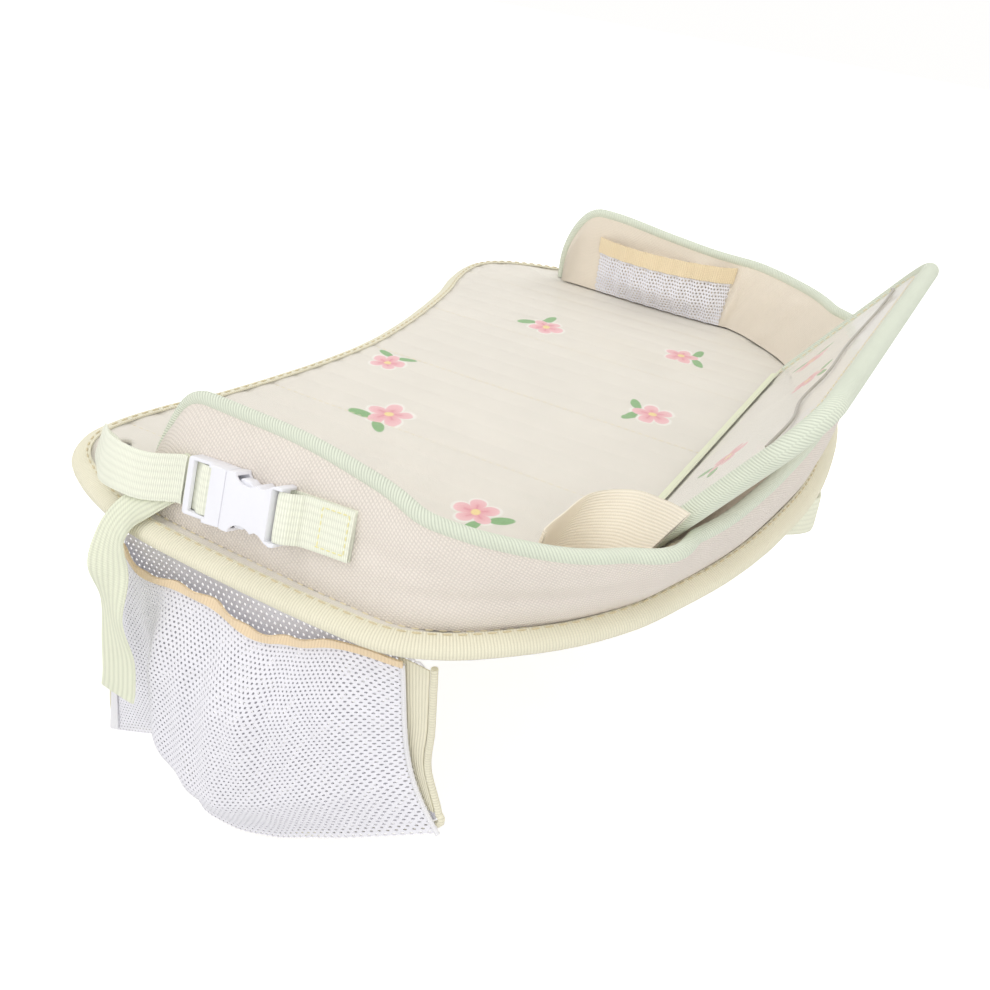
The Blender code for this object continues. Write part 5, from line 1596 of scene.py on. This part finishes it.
@dataclass
class BuckleLook:
    """The side-release buckle, with the CAD parts' edges rounded."""

    bevel: float = 0.0005

    def moulded(self, node: str, body: str, name: str, material: bpy.types.Material) -> None:
        """Round the edges of a copy of a CAD part.

        Args:
            node: The CAD node.
            body: The body that it moves with.
            name: The new piece's name.
            material: Its finish.
        """
        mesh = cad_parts[node].data.copy()
        piece = new_object(name, mesh, material, sharp=None)
        for kind, settings in (("WELD", {"merge_threshold": 2e-5}),
                               ("DECIMATE", {"decimate_type": "DISSOLVE", "angle_limit": math.radians(2)}),
                               ("BEVEL", {"width": self.bevel, "segments": 3, "limit_method": "ANGLE",
                                          "angle_limit": math.radians(35), "harden_normals": False,
                                          "use_clamp_overlap": True})):
            modifier = piece.modifiers.new(kind.lower(), kind)
            for key, value in settings.items():
                setattr(modifier, key, value)
        smooth = evaluated_mesh(piece)
        piece.modifiers.clear()
        bpy.data.objects.remove(piece, do_unlink=True)
        piece = new_object(name, smooth, material, sharp=38.0)
        settle(piece, body, node, node)

    def build(self) -> None:
        """Make the four moulded parts."""
        white = BUCKLE_WHITE.material()
        self.moulded("buckle_socket", "tray", "socket_shell", white)
        self.moulded("buckle_plug", "plug", "plug_body", white)
        self.moulded("buckle_prong_upper", "prong_upper", "prong_pad_upper", white)
        self.moulded("buckle_prong_lower", "prong_lower", "prong_pad_lower", white)


@dataclass
class BeltLook:
    """The belt: sewn end, turn in the buckle, stretch to the slot, free tail and slack run below."""

    repeat: Repeat
    width: float = 0.0176
    thickness: float = 0.0012
    origin: tuple[float, float, float] = (0.18467, -0.00022, 0.02946)
    along: tuple[float, float, float] = (0.02115, 0.99681, 0.07691)
    up: tuple[float, float, float] = (-0.29922, -0.06709, 0.95182)
    out: tuple[float, float, float] = (0.95395, -0.04315, 0.29685)

    LEAD = (
        (0.948, -0.485, 0.424, -0.30, 0.00, 0.95), (0.943, -0.590, 0.403, -0.34, -0.05, 0.94),
        (0.922, -0.673, 0.369, -0.50, -0.20, 0.84), (0.885, -0.746, 0.329, -0.66, -0.38, 0.64),
        (0.848, -0.814, 0.277, -0.78, -0.50, 0.35), (0.826, -0.840, 0.212, -0.82, -0.56, 0.10),
        (0.816, -0.812, 0.150, -0.82, -0.57, 0.00), (0.815, -0.803, 0.060, -0.82, -0.57, 0.00),
        (0.815, -0.800, -0.030, -0.82, -0.57, 0.00))
    TAIL = (
        (0.940, -0.442, 0.334, -0.40, -0.05, 0.91), (0.960, -0.488, 0.237, -0.68, -0.38, 0.60),
        (0.994, -0.512, 0.132, -0.50, -0.82, 0.27), (1.015, -0.511, 0.030, -0.20, -0.97, 0.05),
        (1.030, -0.500, -0.150, 0.12, -0.99, 0.00), (1.040, -0.478, -0.400, -0.34, -0.94, 0.00),
        (1.046, -0.452, -0.680, -0.10, -0.99, 0.00), (1.049, -0.449, -0.900, -0.08, -0.99, 0.00),
        (1.050, -0.456, -1.020, -0.08, -0.99, 0.00))
    BELOW = (
        (0.813, -0.795, -0.047, 0.82, 0.57, 0.00), (0.700, -0.500, -0.080, 0.82, 0.57, 0.00),
        (0.520, -0.070, -0.115, 0.81, 0.57, 0.10), (0.300, 0.340, -0.160, 0.72, 0.50, 0.48),
        (0.120, 0.680, -0.205, 0.40, 0.28, 0.87), (0.010, 0.860, -0.228, 0.10, 0.05, 0.99),
        (-0.035, 0.945, -0.230, 0.00, 0.00, 1.00), (-0.085, 0.990, -0.230, 0.00, 0.00, 1.00),
        (-0.140, 0.955, -0.230, 0.00, 0.00, 1.00), (-0.200, 0.840, -0.225, 0.08, -0.05, 0.99),
        (-0.310, 0.600, -0.195, 0.42, -0.30, 0.85), (-0.450, 0.250, -0.150, 0.74, -0.50, 0.44),
        (-0.600, -0.150, -0.105, 0.82, -0.56, 0.10), (-0.740, -0.560, -0.060, 0.82, -0.57, 0.00),
        (-0.800, -0.740, -0.024, 0.82, -0.57, 0.00), (-0.840, -0.850, -0.018, 0.82, -0.57, 0.00))
    LOOP = (
        (-0.0458, 0.00240), (-0.0410, 0.00240), (-0.03845, 0.0036), (-0.03715, 0.0047), (-0.0354, 0.0050),
        (-0.03356, 0.0048), (-0.0331, 0.0028), (-0.0336, 0.0015), (-0.0354, 0.0006), (-0.0372, 0.0009),
        (-0.0385, 0.0009), (-0.0410, 0.0009), (-0.0458, 0.0009))
    ANCHOR = (
        (0.0255, -0.0003), (0.0105, -0.0003), (0.00075, 0.0000), (-0.0025, 0.0015), (-0.0028, 0.0037),
        (-0.0022, 0.0057), (-0.0008, 0.0065), (0.0020, 0.0057), (0.0044, 0.0034), (0.0080, 0.0015),
        (0.0255, 0.0012))

    def frame_point(self, along: float, out: float) -> np.ndarray:
        """Return the point at a place along the belt and out of the wall."""
        return (np.array(self.origin) + np.array(self.along) * along + np.array(self.out) * out)

    def rows(self, shares: Table) -> list[tuple[float, ...]]:
        """Turn a route's shares of the tray's sizes into metres."""
        made = []
        for x, y, z, *across in shares:
            reach = OUTLINE.back_reach if y > 0 else OUTLINE.front_reach
            made.append((x * OUTLINE.half_width, y * reach, z * OUTLINE.wall_height, *across))
        return made

    def leaving(self, layer: float) -> list[tuple[float, ...]]:
        """Return the first rows of a strap that leaves the buckle's frame in one of its layers."""
        return [(*self.frame_point(-0.0434 - reach, layer), *self.up) for reach in (0.0033, 0.00657)]

    def free_line(self, shares: Table, layer: float) -> np.ndarray:
        """Return a strap's smooth route from the buckle's frame through its rows of shares."""
        return through_points(self.leaving(layer) + self.rows(shares), 14)

    def build(self) -> None:
        """Make the belt's five stretches and their stitches."""
        webbing, ribbed, pale = WEBBING.material(), SHADED_TAIL_WEBBING.material(), SHADED_UNDER_WEBBING.material()
        across = self.up
        for name, node, body, places in (("belt_turn", "webbing_loop", "plug", self.LOOP),
                                         ("belt_sewn_end", "webbing_anchor", "tray", self.ANCHOR)):
            rows = [(*self.frame_point(along, out), *across) for along, out in places]
            route = through_points(rows, 6)
            settle(strap(name, route, self.width, self.thickness, webbing), body, node, node)
        route = self.free_line(self.LEAD, 0.0024)
        lead = strap("belt_lead", route, self.width, self.thickness, webbing)
        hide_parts("webbing_lead")
        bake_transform(lead)
        LOG.info("%s across tray and plug", lead.name)
        # The tail takes ribbed, the belt's webbing in a darker copy: painted shade.
        route = self.free_line(self.TAIL, 0.0009)
        settle(strap("belt_tail", route, self.width, self.thickness, ribbed, columns=16), "plug",
               "webbing_tail", "webbing_tail")
        # The run under the tray takes pale, the belt's webbing in a darker copy: painted shade.
        below = through_points(self.rows(self.BELOW), 10)
        slack = settle(strap("belt_below", below, self.width, self.thickness, pale, columns=16), "tray",
                       "belt_underside", "belt_underside")
        self.length(below)
        self.stitches()

    @staticmethod
    def length(route: np.ndarray) -> float:
        """Return the length of a route."""
        return float(np.linalg.norm(np.diff(route[:, :3], axis=0), axis=1).sum())

    def stitches(self) -> None:
        """Make the box of stitches on the belt's sewn end."""
        start, end, half = 0.0130, 0.0238, 0.0068
        corners = ((start, -half), (end, -half), (end, half), (start, half), (start, -half))
        points = []
        for (a, b), (c, d) in zip(corners, corners[1:]):
            for t in np.linspace(0, 1, 12, endpoint=False):
                base = self.frame_point(a + t * (c - a), 0.0019)
                points.append(base + np.array(self.up) * (b + t * (d - b)))
        settle(self.repeat.stitch("sewn_end_stitches", [np.array(points)], YELLOW_THREAD.material(),
                                  spacing=0.0023, length=0.0018, radius=0.00026), "tray", "webbing_anchor")


@dataclass
class PouchLook:
    """The side pouch: a net bag with soft folds on a net back, hung from a tape under the near rim."""

    repeat: Repeat
    seam_x: float = 0.1870
    left: float = 0.0765
    right: float = 0.0590
    depth: float = 0.1240
    bulge: float = 0.0160
    fold: float = 0.0035
    edge_radius: float = 0.0013
    hem: float = 0.0342
    notch: float = 0.066
    strip: float = 0.150

    HEM = (
        (-1.00, 0.040), (-0.93, 0.062), (-0.81, 0.108), (-0.66, 0.092), (-0.46, 0.076), (-0.28, 0.084),
        (-0.11, 0.121), (0.11, 0.101), (0.35, 0.077), (0.62, 0.042), (1.00, 0.038))
    BOTTOM = (
        (-1.16, 0.865), (-0.95, 0.815), (-0.74, 0.775), (-0.64, 0.870), (-0.50, 1.000), (-0.23, 0.985),
        (0.12, 0.905), (0.62, 0.755), (1.19, 0.575))
    BACK = (
        (-1.00, 0.036), (-1.05, 0.300), (-1.10, 0.560), (-1.13, 0.760), (-1.09, 0.820), (-0.95, 0.782),
        (-0.75, 0.742), (-0.63, 0.830), (-0.48, 0.958), (-0.23, 0.946), (0.12, 0.868), (0.62, 0.718),
        (1.10, 0.562), (1.12, 0.520), (1.02, 0.380), (1.02, 0.250), (1.01, 0.140), (1.00, 0.036))

    def __post_init__(self) -> None:
        """Sample the bag's two edges."""
        self.hem_line = through_points(self.HEM, 4)
        self.foot_line = through_points(self.BOTTOM, 4)

    def point(self, y: float, z: float, x: float) -> np.ndarray:
        """Return a point from shares of the pouch's reach to its side and of its depth."""
        return np.array([x, y * (self.right if y > 0 else self.left), -z * self.depth])

    def bag(self, along: float, down: float) -> np.ndarray:
        """Find a point of the bag's front.

        Args:
            along: The share of its width.
            down: The share of its height.

        Returns:
            The point.
        """
        ends = []
        for line in (self.hem_line, self.foot_line):
            places = np.linspace(0, 1, len(line))
            ends.append(np.array([np.interp(along, places, line[:, k]) for k in range(2)]))
        y, z = ends[0] + (ends[1] - ends[0]) * down
        y -= self.notch * math.sin(math.pi * max(down, 0.0) ** 1.7) * fade((along - 0.55) / 0.45)
        y -= self.strip * (1 - max(down, 0.0) ** 2.2) * fade((along - 0.50) / 0.50)
        crown = math.sin(math.pi * min(max(along, 0.0), 1.0)) ** 0.8
        profile = (0.36 + 0.64 * fade(2.5 * down)) * (1 - fade((down - 0.72) / 0.28))
        deep = fade(2.5 * down) * crown
        folds = self.fold * math.sin(2 * math.pi * (3.4 * along + 0.12)) * deep
        recess = 1 - 0.62 * fade(2.2 * down) * (1 - fade((along - 0.265 - 0.03 * down) / 0.055))
        small = 0.0012 * math.sin(2 * math.pi * (9.0 * along + 0.35 * math.sin(5 * down))) * deep
        small += 0.0016 * ripple(along * 0.15, down * 0.05, 0.018, 4.0) * deep
        x = self.seam_x + self.edge_radius + 0.00045 + self.bulge * crown * profile * recess
        return self.point(y, z, x + (folds + small) * (1.0 - 0.85 * down))

    def build(self) -> None:
        """Make the pouch."""
        net = NET.material()

        def front(along: float, down: float) -> np.ndarray:
            """Return a point of the bag below its hem."""
            return self.bag(along, self.hem * 0.8 + (1 - self.hem * 0.8) * down)

        bag = self.repeat.netting("bag_net", front, width=0.152, height=0.100, pitch=0.0020, opening=0.44,
                                  thickness=0.0004, material=net)
        settle(bag, "pouch", "pouch_mesh", "pouch_mesh")
        rows = [[front(along, down) + np.array([0.0004, 0, 0]) for down in np.linspace(0.0, 0.985, 50)]
                for along in np.linspace(0.004, 0.040, 6)]
        band = NET_BAND.material()
        settle(cloth("bag_side_band", np.array(rows), 0.0005, band), "pouch", "pouch_mesh")
        seam = [front(0.998, down) + np.array([0.0004, 0, 0]) for down in np.linspace(0.0, 1.0, 80)]
        settle(round_tube("bag_side_seam", np.array(seam), 0.0009, band, sides=10), "pouch", "pouch_mesh")
        self.back(net)
        self.hem_band()
        self.header()

    def back_edge(self, lift: float = 0.0) -> np.ndarray:
        """Return the back's outline, grown by a distance."""
        edge = through_points([tuple(self.point(y, z, self.seam_x)) for y, z in self.BACK], 8)
        spin = float(np.dot(edge[:-1, 1], edge[1:, 2]) - np.dot(edge[1:, 1], edge[:-1, 2]))
        grown = []
        for point, tangent in zip(edge, np.gradient(edge, axis=0)):
            side = np.array([0, tangent[2], -tangent[1]]) / np.linalg.norm(tangent)
            spot = point + side * math.copysign(lift, spin)
            if np.linalg.norm(edge - spot, axis=1).min() > 0.92 * lift - 1e-6:
                grown.append(spot)
        return np.array(grown)

    def back(self, net: bpy.types.Material) -> None:
        """Make the net back, its cream strip and the binding round it."""
        edge = self.back_edge()
        closed = np.stack([edge[:, 1], edge[:, 2], np.zeros(len(edge))], axis=1)
        grid = spread(closed, 60, 40, 0.0004)

        def behind(along: float, down: float) -> np.ndarray:
            """Return a point of the back by its shares, from its top to its foot."""
            place, level = along * 60, (1 - down) * 40
            i, j = min(int(place), 59), min(int(level), 39)
            s, t = place - i, level - j
            low = grid[i, j] * (1 - s) + grid[i + 1, j] * s
            high = grid[i, j + 1] * (1 - s) + grid[i + 1, j + 1] * s
            y, z = (low * (1 - t) + high * t)[:2]
            return np.array([self.seam_x + 0.0004 * ripple(y, z, 0.02, 9.0), y, z])

        back = self.repeat.netting("back_net", behind, width=0.148, height=0.092, pitch=0.0024,
                                   opening=0.44, thickness=0.0004, material=net)
        settle(back, "pouch", "pouch_back_panel", "pouch_back_panel")
        side = edge[edge[:, 1] > 0.95 * self.right]
        side = side[np.argsort(side[:, 2])]
        rows = []
        for part in np.linspace(0, 1, 10):
            row = []
            for down in np.linspace(0.045, 0.52, 40):
                z = -down * self.depth
                y = np.interp(z, side[:, 2], side[:, 1]) + 0.0004 - (0.0128 - 0.0100 * down) * part
                row.append([self.seam_x + 0.0006 + 0.0003 * ripple(y, z, 0.02, 9.0), y, z])
            rows.append(row)
        strip = cloth("back_strip", np.array(rows), 0.0005, BINDING.material())
        settle(strip, "pouch", "pouch_back_panel")
        binding = round_tube("pouch_edge", self.back_edge(self.edge_radius + 0.0006), self.edge_radius,
                             BINDING.material(), sides=12)
        settle(binding, "pouch", "pouch_binding", "pouch_binding")

    def hem_band(self) -> None:
        """Make the wavy elastic along the bag's mouth."""
        rows = []
        for along in np.linspace(0, 1, 160):
            row = []
            for down in np.linspace(0, self.hem, 6):
                point = self.bag(along, down)
                frill = math.sin(math.pi * along) * 0.0010 * math.sin(2 * math.pi * 8 * along)
                point[0] += 0.0008 + frill * (1 - down / self.hem)
                row.append(point)
            rows.append(row)
        band = cloth("hem_band", np.array(rows), 0.0009, HEM_ELASTIC.material())
        settle(band, "pouch", "pouch_hem_elastic", "pouch_hem_elastic")

    def header(self) -> None:
        """Make the tape that the pouch hangs from."""
        rows = []
        for y in np.linspace(-self.left, 0.86 * self.right, 70):
            wave = 0.0001 * math.sin(400 * y)
            depths = [0.0006 if k in (0, 4) else 0.0007 for k in range(5)]
            rows.append([np.array([self.seam_x + wave + depth, y, -0.0002 - 0.0034 * k / 4])
                         for k, depth in enumerate(depths)])
        tape = cloth("header_tape", np.array(rows), 0.0009, BINDING.material())
        settle(tape, "tray", "pouch_header_tape", "pouch_header_tape")


@dataclass
class Studio:
    """The white studio: floor, soft lamps and the camera."""

    azimuth: float = 114.37
    elevation: float = 25.45
    distance: float = 0.5296
    roll: float = -7.5
    pixels: float = 990.0
    focal: float = 1084.9
    middle: tuple[float, float] = (535.5, 410.9)
    floor_z: float = -0.1300
    floor_size: float = 3.0
    floor_grey: float = 0.86
    floor_glow: float = 0.45
    dim_level: float = 0.80
    lamp_rows: tuple[tuple[str, tuple[float, float, float], float, float], ...] = (
        ("key_lamp", (0.9, -0.9, 1.5), 1.2, 8.0), ("side_lamp", (1.3, 1.0, 0.9), 1.0, 6.0),
        ("far_lamp", (-1.2, 0.6, 1.3), 1.2, 5.0))

    def camera(self) -> None:
        """Set the camera where the photograph was taken from."""
        a, e, r = (math.radians(value) for value in (self.azimuth, self.elevation, self.roll))
        back = Vector((math.sin(a) * math.cos(e), -math.cos(a) * math.cos(e), math.sin(e)))
        right = Vector((math.cos(a), math.sin(a), 0.0))
        up = back.cross(right)
        x_axis = right * math.cos(r) - up * math.sin(r)
        y_axis = right * math.sin(r) + up * math.cos(r)
        data = bpy.data.cameras.new("camera")
        data.sensor_width = 36.0
        data.lens = self.focal * data.sensor_width / self.pixels
        data.shift_x = (self.pixels / 2 - self.middle[0]) / self.pixels
        data.shift_y = (self.middle[1] - self.pixels / 2) / self.pixels
        data.clip_start = 0.01
        camera = bpy.data.objects.new("camera", data)
        bpy.context.scene.collection.objects.link(camera)
        turn = Matrix((x_axis, y_axis, back)).transposed().to_4x4()
        camera.matrix_world = Matrix.Translation(back * self.distance) @ turn
        bpy.context.scene.camera = camera

    def lamps(self) -> None:
        """Hang the soft lamps and light the room."""
        for name, place, size, power in self.lamp_rows:
            data = bpy.data.lights.new(name, "AREA")
            data.shape = "SQUARE"
            data.size = size
            data.energy = power
            lamp = bpy.data.objects.new(name, data)
            bpy.context.scene.collection.objects.link(lamp)
            lamp.location = place
            lamp.rotation_mode = "QUATERNION"
            lamp.rotation_quaternion = Vector(place).to_track_quat("Z", "Y")
        world = bpy.data.worlds.new("studio")
        world.use_nodes = True
        bpy.context.scene.world = world
        graph = Graph(world.node_tree)
        base = world.node_tree.nodes["Background"]
        base.inputs["Color"].default_value = (1.0, 0.995, 0.985, 1.0)
        ray = graph.add("ShaderNodeLightPath")
        bent = graph.math("MAXIMUM", ray.outputs["Is Glossy Ray"], ray.outputs["Is Transmission Ray"])
        seen = graph.math("MAXIMUM", ray.outputs["Is Camera Ray"], bent)
        level = graph.math("MULTIPLY_ADD", seen, 0.20, self.dim_level)
        graph.fill(base, {"Strength": level})

    def floor(self) -> None:
        """Lay the white floor, which keeps the object's soft shadow."""
        body = Body()
        size = self.floor_size
        turns = ((-1, -1), (1, -1), (1, 1), (-1, 1))
        corners = np.array([(size * x, size * y, self.floor_z) for x, y in turns])
        body.add_face(body.add_points(corners), corners[:, :2])
        material, graph, shader = new_material("studio_floor")
        ray = graph.add("ShaderNodeLightPath")
        glow = graph.math("MULTIPLY", ray.outputs["Is Camera Ray"], self.floor_glow)
        graph.fill(shader, {"Base Color": (*[self.floor_grey] * 3, 1.0), "Roughness": 1.0,
                            "Specular IOR Level": 0.0, "Emission Color": (1.0, 1.0, 1.0, 1.0),
                            "Emission Strength": glow})
        mesh = bpy.data.meshes.new("studio_floor")
        mesh.from_pydata(body.vertices, [], body.faces)
        floor = new_object("studio_floor", mesh, material, sharp=None)

    def build(self) -> None:
        """Set up the studio."""
        bpy.context.scene.view_settings.view_transform = "Standard"
        self.camera()
        self.lamps()
        self.floor()


def dress_boards() -> None:
    """Give the stiff boards that stay as the CAD has them their finish."""
    board = STIFF_BOARD.material()
    for node in ("base_board", "wall_stiffener", "flap_board"):
        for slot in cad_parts[node].material_slots:
            slot.material = board


def main() -> None:
    """Build the tray, piece by piece."""
    logging.basicConfig(level=logging.INFO, format="%(name)s: %(message)s")
    repeat = Repeat()
    Studio().build()
    BeltLook(repeat).build()
    BaseLook(repeat).build()
    WallLook(repeat).build()
    PocketLook(repeat).build()
    FlapLook(repeat).build()
    StrapLook(repeat).build()
    BuckleLook().build()
    PouchLook(repeat).build()
    dress_boards()
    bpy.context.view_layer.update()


if __name__ == "__main__":
    main()
